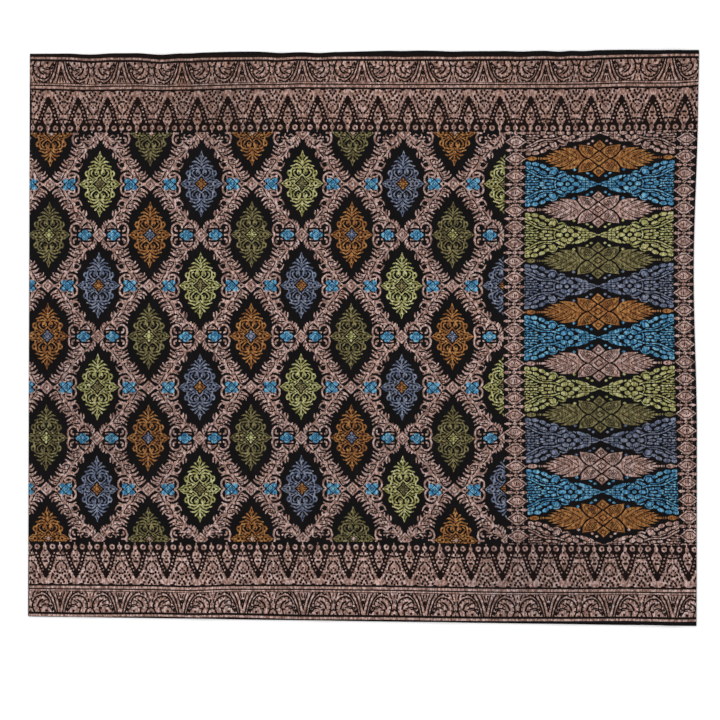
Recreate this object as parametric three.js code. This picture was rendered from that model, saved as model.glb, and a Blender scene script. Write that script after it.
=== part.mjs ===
// A samping: one length of songket cloth, lap-sewn end to end into a tube and laid flat.
// Millimetres, +Z up, +X across the flattened tube, +Y from the lower to the upper selvedge.
// The origin lies under the middle of the cloth, on the surface that it rests on.

import * as THREE from "three";

// Sizes of the cloth
const CLOTH_THICKNESS = 1.0;
const LAYER_GAP = 0.3;
const LAYER_PITCH = CLOTH_THICKNESS + LAYER_GAP;
const FOLD_RADIUS = LAYER_PITCH / 2;
const FOLD_STEPS = 6;

// Corners of the flattened tube. The cloth is cut 20 mm deeper at the right than at the left.
const TOP_LEFT = { x: -498.5, y: 424.6 };
const TOP_RIGHT = { x: 501.6, y: 430.3 };
const BOTTOM_LEFT = { x: -501.2, y: -415.8 };
const BOTTOM_RIGHT = { x: 497.6, y: -430.3 };

// The right fold steps in below the upper border, where the tube was pressed flat, stays in
// beside the field and comes back to its straight line at the lower selvedge.
const RIGHT_STEP_IN = 1.2;
const RIGHT_STEP_DEPTH = 85;

// The lap seam lies on the back, beside the right fold.
const LAP_WIDTH = 12;
const LAP_FROM_RIGHT_FOLD = 46;
// LAP_EASE is how far the cloth takes to climb over the lap, LAP_CLEARANCE the way before the climb,
// and LAP_SLACK how much higher than the lap the front layer stands.
const LAP_EASE = 14;
const LAP_CLEARANCE = 1.5;
const LAP_STEPS = 5;
const LAP_SLACK = 0.25;

// Rows of the cloth from the lower selvedge (0) to the upper one (1), closer at the borders
const MIDDLE_ROW = 0.5;
const ROW_HEIGHTS = [0, 0.008, 0.028, 0.06, 0.11, 0.22, 0.36, 0.5, 0.64, 0.78, 0.87, 0.91, 0.945, 0.97, 0.99, 1];

// Columns across each layer, between the folds
const FRONT_COLUMNS = 76;
const BACK_COLUMNS = 24;

// Puckers that the gold border draws up along the selvedges of the front layer:
// where the pucker stands, its half width, how high it stands, how far the selvedge
// is drawn in there, and how far the pucker runs into the cloth.
const TOP_PUCKERS = [
  { x: -408, halfWidth: 36, height: 1.6, drawnIn: 1.9, reach: 70 },
  { x: -302, halfWidth: 38, height: 2.2, drawnIn: 2.8, reach: 95 },
  { x: -262, halfWidth: 24, height: 1.1, drawnIn: 1.0, reach: 60 },
  { x: -126, halfWidth: 30, height: 1.7, drawnIn: 1.6, reach: 80 },
  { x: -66, halfWidth: 26, height: 1.5, drawnIn: 1.5, reach: 64 },
  { x: 59, halfWidth: 24, height: 1.1, drawnIn: 0.9, reach: 56 },
  { x: 131, halfWidth: 26, height: 1.3, drawnIn: 0.9, reach: 72 },
  { x: 236, halfWidth: 26, height: 1.3, drawnIn: 1.0, reach: 60 },
  { x: 292, halfWidth: 22, height: 1.6, drawnIn: 1.5, reach: 74 },
  { x: 329, halfWidth: 20, height: 1.2, drawnIn: 1.1, reach: 50 },
  { x: 428, halfWidth: 34, height: 1.2, drawnIn: 0.4, reach: 90 },
];
const BOTTOM_PUCKERS = [
  { x: -420, halfWidth: 40, height: 1.2, drawnIn: 0.3, reach: 60 },
  { x: -236, halfWidth: 44, height: 1.5, drawnIn: 0.4, reach: 84 },
  { x: -60, halfWidth: 36, height: 1.1, drawnIn: 0.3, reach: 60 },
  { x: 118, halfWidth: 42, height: 1.4, drawnIn: 0.4, reach: 76 },
  { x: 300, halfWidth: 40, height: 1.2, drawnIn: 0.3, reach: 66 },
  { x: 424, halfWidth: 36, height: 1.6, drawnIn: 0.5, reach: 88 },
];

// The upper selvedge is woven straight, with a slight step where the tube was turned on the table.
const TOP_EDGE_SWELLS = [
  { x: -180, halfWidth: 90, rise: 1.4 },
  { x: 60, halfWidth: 110, rise: 1.6 },
  { x: 390, halfWidth: 90, rise: 0.9 },
];

// Low waves of the field, where the front layer doesn't lie quite flat on the back one
const FIELD_WAVES = [
  { x: -330, y: 190, radius: 120, height: 0.7 },
  { x: -120, y: -150, radius: 150, height: 0.8 },
  { x: 90, y: 120, radius: 130, height: 0.6 },
  { x: 270, y: -90, radius: 120, height: 0.9 },
];

// The folds hold the front layer down, so its waves fade out over this far beside them.
const FOLD_HOLD = 40;

// The back layer's selvedges lie this far inside the front layer's.
const BACK_SET_IN = 1.2;

const CLOTH_COLOR = 0x1a1c22;
const CLOTH_ROUGHNESS = 0.85;

// A smooth hump: 1 in the middle, 0 from the edge outwards
function hump(distance, halfWidth) {
  const share = Math.min(Math.abs(distance) / halfWidth, 1);
  return 0.5 + 0.5 * Math.cos(Math.PI * share);
}

function topEdgeY(x) {
  const share = (x - TOP_LEFT.x) / (TOP_RIGHT.x - TOP_LEFT.x);
  let y = THREE.MathUtils.lerp(TOP_LEFT.y, TOP_RIGHT.y, share);
  for (const swell of TOP_EDGE_SWELLS) {
    y += swell.rise * hump(x - swell.x, swell.halfWidth);
  }
  for (const pucker of TOP_PUCKERS) {
    y -= pucker.drawnIn * hump(x - pucker.x, pucker.halfWidth);
  }
  return y;
}

function bottomEdgeY(x) {
  const share = (x - BOTTOM_LEFT.x) / (BOTTOM_RIGHT.x - BOTTOM_LEFT.x);
  let y = THREE.MathUtils.lerp(BOTTOM_LEFT.y, BOTTOM_RIGHT.y, share);
  for (const pucker of BOTTOM_PUCKERS) {
    y += pucker.drawnIn * hump(x - pucker.x, pucker.halfWidth);
  }
  return y;
}

function leftFoldX(row) {
  return THREE.MathUtils.lerp(BOTTOM_LEFT.x, TOP_LEFT.x, row);
}

function rightFoldX(row) {
  const straight = THREE.MathUtils.lerp(BOTTOM_RIGHT.x, TOP_RIGHT.x, row);
  const depthBelowTop = (1 - row) * (TOP_RIGHT.y - BOTTOM_RIGHT.y);
  const stepIn = RIGHT_STEP_IN * THREE.MathUtils.smoothstep(depthBelowTop, 0, RIGHT_STEP_DEPTH);
  const fieldShare = hump(row - MIDDLE_ROW, MIDDLE_ROW);
  return straight - stepIn * (1 + fieldShare) * row;
}

// Height of the front layer above its flat place: puckers along both selvedges and low field waves
function frontRise(x, y) {
  let rise = 0;
  for (const pucker of TOP_PUCKERS) {
    const inFromEdge = topEdgeY(x) - y;
    rise += pucker.height * hump(x - pucker.x, pucker.halfWidth) * hump(inFromEdge, pucker.reach);
  }
  for (const pucker of BOTTOM_PUCKERS) {
    const inFromEdge = y - bottomEdgeY(x);
    rise += pucker.height * hump(x - pucker.x, pucker.halfWidth) * hump(inFromEdge, pucker.reach);
  }
  for (const wave of FIELD_WAVES) {
    rise += wave.height * hump(Math.hypot(x - wave.x, y - wave.y), wave.radius);
  }
  return rise;
}

// One row's way through the middle of the cloth, from the end inside the lap round the right
// fold, over the front, round the left fold and along the back to the end outside the lap
function rowPath(row) {
  const left = leftFoldX(row) + CLOTH_THICKNESS / 2 + FOLD_RADIUS;
  const right = rightFoldX(row) - CLOTH_THICKNESS / 2 - FOLD_RADIUS;
  const lapStart = rightFoldX(row) - LAP_FROM_RIGHT_FOLD;
  const lapEnd = lapStart + LAP_WIDTH;
  const backHeight = CLOTH_THICKNESS / 2;
  const frontHeight = backHeight + LAYER_PITCH;
  const path = [];

  function rowY(x, setIn) {
    return THREE.MathUtils.lerp(bottomEdgeY(x) + setIn, topEdgeY(x) - setIn, row);
  }

  // How much of the lap's thickness lies under the cloth at x
  function lapShare(x, ease) {
    const up = THREE.MathUtils.smoothstep(x, lapStart - ease, lapStart);
    const down = 1 - THREE.MathUtils.smoothstep(x, lapEnd + LAP_CLEARANCE, lapEnd + LAP_CLEARANCE + ease);
    return Math.min(up, down);
  }

  function addBack(x, height) {
    path.push({ x, y: rowY(x, BACK_SET_IN), z: height });
  }

  function addFront(x) {
    const y = rowY(x, 0);
    const fade = THREE.MathUtils.smoothstep(Math.min(x - left, right - x), 0, FOLD_HOLD);
    const overLap = (LAYER_PITCH + LAP_SLACK) * lapShare(x, LAP_EASE + LAP_CLEARANCE);
    path.push({ x, y, z: frontHeight + overLap + frontRise(x, y) * fade });
  }

  function addFold(centerX, side) {
    for (let step = 1; step < FOLD_STEPS; step += 1) {
      const angle = (Math.PI * step) / FOLD_STEPS;
      const turn = side > 0 ? angle : Math.PI - angle;
      const x = centerX + side * FOLD_RADIUS * Math.sin(turn);
      const setIn = (BACK_SET_IN * (1 + Math.cos(turn))) / 2;
      path.push({ x, y: rowY(x, setIn), z: CLOTH_THICKNESS / 2 + FOLD_RADIUS * (1 - Math.cos(turn)) });
    }
  }

  // The end inside the lap, then down to the floor and out to the right fold
  addBack(lapStart, frontHeight);
  addBack(lapStart + LAP_WIDTH / 2, frontHeight);
  for (let step = 0; step <= LAP_STEPS; step += 1) {
    const x = lapEnd + LAP_CLEARANCE + (LAP_EASE * step) / LAP_STEPS;
    addBack(x, backHeight + LAYER_PITCH * lapShare(x, LAP_EASE));
  }
  addBack(right, backHeight);
  addFold(right, 1);

  // The front layer, from the right fold to the left one, with closer columns over the lap
  const easeEnd = lapEnd + LAP_CLEARANCE + LAP_EASE + LAP_CLEARANCE;
  const easeStart = lapStart - LAP_EASE - LAP_CLEARANCE;
  addFront(right);
  for (let step = 0; step < LAP_STEPS; step += 1) {
    addFront(THREE.MathUtils.lerp(easeEnd, lapEnd + LAP_CLEARANCE, step / LAP_STEPS));
  }
  for (let step = 0; step < LAP_STEPS; step += 1) {
    addFront(THREE.MathUtils.lerp(lapStart, easeStart, step / LAP_STEPS));
  }
  for (let column = 0; column <= FRONT_COLUMNS; column += 1) {
    addFront(THREE.MathUtils.lerp(easeStart, left, column / FRONT_COLUMNS));
  }
  addFold(left, -1);

  // The back layer, flat on the surface, to the end outside the lap
  for (let column = 0; column <= BACK_COLUMNS; column += 1) {
    addBack(THREE.MathUtils.lerp(left, lapEnd, column / BACK_COLUMNS), backHeight);
  }
  return path;
}

// Moves a path half the cloth's thickness to its outer (1) or inner (-1) side
function offsetPath(path, side) {
  const half = (CLOTH_THICKNESS / 2) * side;
  return path.map((point, index) => {
    const before = path[Math.max(index - 1, 0)];
    const after = path[Math.min(index + 1, path.length - 1)];
    const length = Math.hypot(after.x - before.x, after.z - before.z);
    const outX = (after.z - before.z) / length;
    const outZ = -(after.x - before.x) / length;
    return new THREE.Vector3(point.x + outX * half, point.y, point.z + outZ * half);
  });
}

function buildCloth() {
  const outerRows = [];
  const innerRows = [];
  for (const row of ROW_HEIGHTS) {
    const path = rowPath(row);
    outerRows.push(offsetPath(path, 1));
    innerRows.push(offsetPath(path, -1));
  }
  const rowCount = ROW_HEIGHTS.length;
  const pointCount = outerRows[0].length;
  const positions = [];
  for (const rows of [outerRows, innerRows]) {
    for (const points of rows) {
      for (const point of points) {
        positions.push(point.x, point.y, point.z);
      }
    }
  }

  const innerStart = rowCount * pointCount;
  const outer = (row, point) => row * pointCount + point;
  const inner = (row, point) => innerStart + row * pointCount + point;
  const indices = [];
  function addQuad(a, b, c, d) {
    indices.push(a, b, c, a, c, d);
  }

  for (let row = 0; row + 1 < rowCount; row += 1) {
    for (let point = 0; point + 1 < pointCount; point += 1) {
      addQuad(outer(row, point), outer(row + 1, point), outer(row + 1, point + 1), outer(row, point + 1));
      addQuad(inner(row, point), inner(row, point + 1), inner(row + 1, point + 1), inner(row + 1, point));
    }
  }
  const topRow = rowCount - 1;
  for (let point = 0; point + 1 < pointCount; point += 1) {
    addQuad(outer(0, point), outer(0, point + 1), inner(0, point + 1), inner(0, point));
    addQuad(outer(topRow, point), inner(topRow, point), inner(topRow, point + 1), outer(topRow, point + 1));
  }
  const lastPoint = pointCount - 1;
  for (let row = 0; row + 1 < rowCount; row += 1) {
    addQuad(outer(row, 0), inner(row, 0), inner(row + 1, 0), outer(row + 1, 0));
    addQuad(outer(row, lastPoint), outer(row + 1, lastPoint), inner(row + 1, lastPoint), inner(row, lastPoint));
  }

  const geometry = new THREE.BufferGeometry();
  geometry.setAttribute("position", new THREE.Float32BufferAttribute(positions, 3));
  geometry.setIndex(indices);
  geometry.computeVertexNormals();
  return geometry;
}

const clothMaterial = new THREE.MeshStandardMaterial({
  color: CLOTH_COLOR,
  roughness: CLOTH_ROUGHNESS,
  metalness: 0,
  side: THREE.DoubleSide,
});
const cloth = new THREE.Mesh(buildCloth(), clothMaterial);
cloth.name = "samping_cloth";

const samping = new THREE.Group();
samping.name = "samping";
samping.add(cloth);

export default samping;
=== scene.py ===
from math import hypot, pi

import bpy
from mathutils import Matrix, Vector
import numpy as np


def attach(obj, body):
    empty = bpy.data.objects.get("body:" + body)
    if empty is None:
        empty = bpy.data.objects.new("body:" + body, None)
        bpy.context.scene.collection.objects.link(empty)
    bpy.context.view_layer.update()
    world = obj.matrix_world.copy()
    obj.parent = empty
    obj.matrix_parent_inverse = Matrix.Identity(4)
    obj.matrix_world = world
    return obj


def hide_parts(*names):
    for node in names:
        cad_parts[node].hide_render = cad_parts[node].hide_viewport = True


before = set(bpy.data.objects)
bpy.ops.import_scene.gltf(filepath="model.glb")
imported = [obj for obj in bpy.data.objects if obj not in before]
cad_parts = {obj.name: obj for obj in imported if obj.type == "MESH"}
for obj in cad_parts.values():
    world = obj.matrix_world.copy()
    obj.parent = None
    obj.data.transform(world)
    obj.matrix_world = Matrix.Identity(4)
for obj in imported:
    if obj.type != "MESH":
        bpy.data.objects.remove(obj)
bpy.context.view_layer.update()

# ---- Ground cloth ---------------------------------------------------------------
# One length of songket, plain-woven in near-black cotton and silk and lap-sewn end to end into a tube,
# then laid flat: a front layer, two side folds and a back layer. It lies on its solid's form.
MM = 0.001
CLOTH = 1.0                    # thickness, as the solid's
PITCH = CLOTH + 0.3            # from one layer to the next
FOLD_RADIUS = PITCH / 2
UNDERSIDE = 0.12               # room for the seam's stitches under the cloth
TOP_LEFT, TOP_RIGHT = (-498.5, 424.6), (501.6, 430.3)
BOTTOM_LEFT, BOTTOM_RIGHT = (-501.2, -415.8), (497.6, -430.3)
LAP_WIDTH, LAP_FROM_FOLD = 12, 46
# the front layer's way down beside the lap, the room left beside the lap, and the slack over it
LAP_EASE, LAP_CLEAR, LAP_SLACK = 14, 1.5, 0.25
# the right fold steps in below its upper corner: how far, and over what depth
STEP_IN, STEP_REACH = 1.2, 85
# the right fold hollows in: how far, at what level, and how far up and down from there
HOLLOW_DEPTH, HOLLOW_AT, HOLLOW_REACH = 5.1, 105, 250
BACK_SET_IN = 1.2              # the back layer's selvedges lie that far inside the front layer's
PUCKERS_END = 40               # how far from a fold the puckers and waves have grown to full height
# steps round a fold, beside the lap, over the front layer and over the back layer
FOLD_STEPS, LAP_STEPS, FRONT_STEPS, BACK_STEPS = 10, 9, 222, 54

# where a pucker stands, its half width, its height, how far it draws the selvedge in, how far it runs
TOP_PUCKERS = (
    (-408, 36, 1.6, 1.9, 70), (-302, 38, 2.2, 2.8, 95), (-262, 24, 1.1, 1.0, 60), (-126, 30, 1.7, 1.6, 80),
    (-66, 26, 1.5, 1.5, 64), (59, 24, 1.1, 0.9, 56), (131, 26, 1.3, 0.9, 72), (236, 26, 1.3, 1.0, 60),
    (292, 22, 1.6, 1.5, 74), (329, 20, 1.2, 1.1, 50), (428, 34, 1.2, 0.4, 90),
)
BOTTOM_PUCKERS = (
    (-420, 40, 1.2, 0.3, 60), (-236, 44, 1.5, 0.4, 84), (-60, 36, 1.1, 0.3, 60), (118, 42, 1.4, 0.4, 76),
    (300, 40, 1.2, 0.3, 66), (424, 36, 1.6, 0.5, 88),
)
# where a swell of the upper selvedge stands, its half width, its rise
TOP_SWELLS = ((-180, 90, 1.4), (60, 110, 1.6), (390, 90, 0.9))
# low waves of the front layer: place across and up, radius, height
FIELD_WAVES = ((-330, 190, 120, 0.7), (-120, -150, 150, 0.8), (90, 120, 130, 0.6), (270, -90, 120, 0.9))


def hump(distance, half_width):
    """1 in the middle and 0 from the edge outwards."""
    return 0.5 + 0.5 * np.cos(pi * np.minimum(np.abs(distance) / half_width, 1))


def ease(x, low, high):
    """0 below low and 1 above high, with a soft way between."""
    t = np.clip((x - low) / (high - low), 0, 1)
    return t * t * (3 - 2 * t)


def top_edge(x):
    y = TOP_LEFT[1] + (TOP_RIGHT[1] - TOP_LEFT[1]) * (x - TOP_LEFT[0]) / (TOP_RIGHT[0] - TOP_LEFT[0])
    for at, half, rise in TOP_SWELLS:
        y = y + rise * hump(x - at, half)
    for at, half, height, drawn, reach in TOP_PUCKERS:
        y = y - drawn * hump(x - at, half)
    return y


def bottom_edge(x):
    rise = BOTTOM_RIGHT[1] - BOTTOM_LEFT[1]
    y = BOTTOM_LEFT[1] + rise * (x - BOTTOM_LEFT[0]) / (BOTTOM_RIGHT[0] - BOTTOM_LEFT[0])
    for at, half, height, drawn, reach in BOTTOM_PUCKERS:
        y = y + drawn * hump(x - at, half)
    return y


def left_fold(row):
    return BOTTOM_LEFT[0] + (TOP_LEFT[0] - BOTTOM_LEFT[0]) * row


def right_line(row):
    """The right fold as it would run without its hollow."""
    depth = (1 - row) * (TOP_RIGHT[1] - BOTTOM_RIGHT[1])
    step_in = STEP_IN * ease(depth, 0, STEP_REACH) * (1 + hump(row - 0.5, 0.5)) * row
    return BOTTOM_RIGHT[0] + (TOP_RIGHT[0] - BOTTOM_RIGHT[0]) * row - step_in


def right_fold(row):
    """The right fold hollows in a little between its ends."""
    level = BOTTOM_RIGHT[1] + (TOP_RIGHT[1] - BOTTOM_RIGHT[1]) * row
    return right_line(row) - HOLLOW_DEPTH * hump(level - HOLLOW_AT, HOLLOW_REACH)


def front_height(x, y, row):
    """Height of the front layer's middle at x, y, with its puckers, low waves and the lap under it."""
    rise = 0.0
    for at, half, height, drawn, reach in TOP_PUCKERS:
        rise = rise + height * hump(x - at, half) * hump(top_edge(x) - y, reach)
    for at, half, height, drawn, reach in BOTTOM_PUCKERS:
        rise = rise + height * hump(x - at, half) * hump(y - bottom_edge(x), reach)
    for wx, wy, radius, height in FIELD_WAVES:
        rise = rise + height * hump(np.hypot(x - wx, y - wy), radius)
    left, right = left_fold(row) + CLOTH / 2 + FOLD_RADIUS, right_fold(row) - CLOTH / 2 - FOLD_RADIUS
    lap = (PITCH + LAP_SLACK) * lap_share(x, row, LAP_EASE + LAP_CLEAR)
    return CLOTH / 2 + PITCH + lap + rise * ease(np.minimum(x - left, right - x), 0, PUCKERS_END)


def lap_share(x, row, run):
    """1 over the lap and 0 away from it, with a slope as wide as run on either side."""
    start = right_line(row) - LAP_FROM_FOLD
    end = start + LAP_WIDTH + LAP_CLEAR
    return np.minimum(ease(x, start - run, start), 1 - ease(x, end, end + run))


def grid_mesh(name, points, material):
    """A cloth wall from its outer and inner points, each [row, point, xyz] in millimetres."""
    rows, count = points[0].shape[:2]
    verts = np.concatenate([p.reshape(-1, 3) for p in points]) * MM
    at = np.arange(rows * count).reshape(rows, count)
    a, b, c, d = at[:-1, :-1], at[1:, :-1], at[1:, 1:], at[:-1, 1:]
    outer = np.stack([a, b, c, d], -1).reshape(-1, 4)
    inner = np.stack([a, d, c, b], -1).reshape(-1, 4) + rows * count
    inside = at + rows * count
    rims = (
        np.stack([at[0, :-1], at[0, 1:], inside[0, 1:], inside[0, :-1]], -1),
        np.stack([at[-1, :-1], inside[-1, :-1], inside[-1, 1:], at[-1, 1:]], -1),
        np.stack([at[:-1, 0], inside[:-1, 0], inside[1:, 0], at[1:, 0]], -1),
        np.stack([at[:-1, -1], at[1:, -1], inside[1:, -1], inside[:-1, -1]], -1),
    )
    faces = np.concatenate([outer, inner, *rims])
    mesh = bpy.data.meshes.new(name)
    mesh.vertices.add(len(verts))
    mesh.vertices.foreach_set("co", verts.astype(np.float32).ravel())
    mesh.loops.add(faces.size)
    mesh.loops.foreach_set("vertex_index", faces.astype(np.int32).ravel())
    mesh.polygons.add(len(faces))
    mesh.polygons.foreach_set("loop_start", np.arange(0, faces.size, 4, dtype=np.int32))
    mesh.update(calc_edges=True)
    mesh.polygons.foreach_set("use_smooth", np.ones(len(faces), bool))
    obj = bpy.data.objects.new(name, mesh)
    bpy.context.collection.objects.link(obj)
    mesh.materials.append(material)
    return obj


def cloth_path(row):
    """One row's way through the middle of the cloth, round the whole tube, as x, y, z."""
    left, right = left_fold(row) + CLOTH / 2 + FOLD_RADIUS, right_fold(row) - CLOTH / 2 - FOLD_RADIUS
    lap_start = right_line(row) - LAP_FROM_FOLD
    lap_end = lap_start + LAP_WIDTH
    low = CLOTH / 2

    def at(x, z, set_in):
        bottom, top = bottom_edge(x) + set_in, top_edge(x) - set_in
        return np.stack([x, bottom + (top - bottom) * row, np.broadcast_to(z, x.shape)], -1)

    def fold(center, side):
        turn = pi * np.arange(1, FOLD_STEPS) / FOLD_STEPS
        turn = turn if side > 0 else pi - turn
        set_in = BACK_SET_IN * (1 + np.cos(turn)) / 2
        return at(center + side * FOLD_RADIUS * np.sin(turn), low + FOLD_RADIUS * (1 - np.cos(turn)),
                  set_in)

    inside = np.array([lap_start, lap_start + LAP_WIDTH / 2])
    slope = np.linspace(lap_end + LAP_CLEAR, lap_end + LAP_CLEAR + LAP_EASE, LAP_STEPS)
    front = np.linspace(right, left, FRONT_STEPS)
    y = bottom_edge(front) + (top_edge(front) - bottom_edge(front)) * row
    back = np.linspace(left, lap_end, BACK_STEPS)
    return np.concatenate([
        at(inside, low + PITCH, BACK_SET_IN),
        at(slope, low + PITCH * lap_share(slope, row, LAP_EASE), BACK_SET_IN),
        at(np.array([right]), low, BACK_SET_IN),
        fold(right, 1),
        np.stack([front, y, front_height(front, y, row)], -1),
        fold(left, -1),
        at(back, low, BACK_SET_IN),
    ])


def cloth_walls(rows, thickness):
    """The cloth's outer and inner face, each [row, point, xyz]."""
    outer, inner = [], []
    for row in rows:
        path = cloth_path(row)
        path[:, 2] += UNDERSIDE * hump(path[:, 2], PITCH)
        along = np.gradient(path[:, [0, 2]], axis=0)
        along /= np.hypot(along[:, 0], along[:, 1])[:, None]
        out = np.stack([along[:, 1], np.zeros(len(path)), -along[:, 0]], -1)
        outer.append(path + out * thickness / 2)
        inner.append(path - out * thickness / 2)
    return np.array(outer), np.array(inner)


def mix(tree, kind, a, b, share, blend="MIX"):
    """Blends numbers (FLOAT) or colours (RGBA)."""
    node = tree.nodes.new("ShaderNodeMix")
    node.data_type, node.blend_type = kind, blend
    index = {"FLOAT": (0, 2, 3), "RGBA": (0, 6, 7)}[kind]
    for socket, value in zip(index, (share, a, b)):
        if isinstance(value, bpy.types.NodeSocket):
            tree.links.new(value, node.inputs[socket])
        else:
            node.inputs[socket].default_value = value
    return node.outputs[{"FLOAT": 0, "RGBA": 2}[kind]]


def math(tree, op, *values, clamp=False):
    node = tree.nodes.new("ShaderNodeMath")
    node.operation, node.use_clamp = op, clamp
    for socket, value in zip(node.inputs, values):
        if isinstance(value, bpy.types.NodeSocket):
            tree.links.new(value, socket)
        else:
            socket.default_value = value
    return node.outputs[0]


def noise(tree, scale, detail=3.0, stretch=(1, 1, 1), roughness=0.55):
    """Noise with grains of scale millimetres; a small stretch makes them long along that axis."""
    coord = tree.nodes.new("ShaderNodeTexCoord")
    scaled = tree.nodes.new("ShaderNodeMapping")
    scaled.inputs["Scale"].default_value = [1000 * s / scale for s in stretch]
    tree.links.new(coord.outputs["Object"], scaled.inputs["Vector"])
    node = tree.nodes.new("ShaderNodeTexNoise")
    node.inputs["Scale"].default_value = 1.0
    node.inputs["Detail"].default_value = detail
    node.inputs["Roughness"].default_value = roughness
    tree.links.new(scaled.outputs["Vector"], node.inputs["Vector"])
    return node.outputs["Fac"]


def threads(tree, pitch, axis):
    """A wave across threads that lie pitch millimetres apart along an axis (0 or 1)."""
    coord = tree.nodes.new("ShaderNodeTexCoord")
    split = tree.nodes.new("ShaderNodeSeparateXYZ")
    tree.links.new(coord.outputs["Object"], split.inputs[0])
    return math(tree, "COSINE", math(tree, "MULTIPLY", split.outputs[axis], 2 * pi / MM / pitch))


def ramp(tree, value, stops):
    """Colours for a value, from stops of place and colour."""
    node = tree.nodes.new("ShaderNodeValToRGB")
    tree.links.new(value, node.inputs["Fac"])
    elements = node.color_ramp.elements
    while len(elements) < len(stops):
        elements.new(0.5)
    for element, (place, colour) in zip(elements, stops):
        element.position = place
        element.color = (*colour, 1)
    return node.outputs["Color"]


def srgb(r, g, b):
    """A colour as a dyer's card gives it, 0 to 255, in the renderer's linear light."""
    return tuple(((v / 255 + 0.055) / 1.055) ** 2.4 if v > 10 else v / 255 / 12.92 for v in (r, g, b))


def new_material(name, roughness):
    material = bpy.data.materials.new(name)
    material.use_nodes = True
    tree = material.node_tree
    shader = tree.nodes["Principled BSDF"]
    shader.inputs["Roughness"].default_value = roughness
    return material, tree, shader


def bump(tree, shader, height, distance, strength=1.0):
    node = tree.nodes.new("ShaderNodeBump")
    node.inputs["Distance"].default_value = distance * MM
    node.inputs["Strength"].default_value = strength
    tree.links.new(height, node.inputs["Height"])
    tree.links.new(node.outputs["Normal"], shader.inputs["Normal"])


WARP_PITCH, WEFT_PITCH = 0.5, 0.75
# the level midway between the borders, how far from it they begin and fade in, and where the selvedge begins
BORDER_MIDDLE, BORDER_START, BORDER_FADE, SELVEDGE_START = 1.0, 308.0, 6.0, 422.0


def ground_material():
    """Near-black plain weave. Rose wefts that pass behind the borders warm it there."""
    material, tree, shader = new_material("ground_weave", 0.85)
    warp, weft = threads(tree, WARP_PITCH, 1), threads(tree, WEFT_PITCH, 0)
    checker = math(tree, "MULTIPLY", threads(tree, 2 * WARP_PITCH, 1), threads(tree, 2 * WEFT_PITCH, 0))
    over = mix(tree, "FLOAT", warp, weft, math(tree, "GREATER_THAN", checker, 0.0))
    shade = mix(tree, "FLOAT", noise(tree, 60), noise(tree, 1.4, 2, (1, 0.08, 1)), 0.5)
    field = ramp(tree, shade, ((0.3, srgb(6, 4, 5)), (0.55, srgb(11, 9, 10)), (0.75, srgb(20, 17, 18))))
    border = ramp(tree, shade, ((0.3, srgb(12, 4, 3)), (0.55, srgb(19, 10, 8)), (0.75, srgb(28, 18, 15))))
    coord = tree.nodes.new("ShaderNodeTexCoord")
    split = tree.nodes.new("ShaderNodeSeparateXYZ")
    tree.links.new(coord.outputs["Object"], split.inputs[0])
    depth = math(tree, "ABSOLUTE", math(tree, "ADD", split.outputs[1], -BORDER_MIDDLE * MM))
    past_start = math(tree, "SUBTRACT", depth, BORDER_START * MM)
    in_border = math(tree, "MULTIPLY", past_start, 1 / (BORDER_FADE * MM), clamp=True)
    in_selvedge = math(tree, "GREATER_THAN", depth, SELVEDGE_START * MM)
    warm = math(tree, "SUBTRACT", in_border, in_selvedge, clamp=True)
    tree.links.new(mix(tree, "RGBA", field, border, warm), shader.inputs["Base Color"])
    shader.inputs["Sheen Weight"].default_value = 0.02
    shader.inputs["Specular IOR Level"].default_value = 0.08
    bump(tree, shader, over, 0.1, 0.4)
    return material


# the rows of the mesh lie closer together beside the selvedges
rows = np.concatenate([[0, 0.0012, 0.003], np.linspace(0.006, 0.994, 104), [0.997, 0.9988, 1]])
ground = grid_mesh("ground_cloth", cloth_walls(rows, CLOTH), ground_material())
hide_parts("samping_cloth")
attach(ground, "root")

# ---- Loom grid --------------------------------------------------------------------
# A songket pattern is charted on squared paper before the loom is set up. A square stands for two picks of
# weft and three warp ends. Where the chart names a yarn, that weft floats over the ground cloth.
SQUARE = 1.4948          # mm of cloth per chart square
GROUND, ROSE, ORANGE, OLIVE, GREEN, SLATE, TURQUOISE = range(7)


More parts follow.
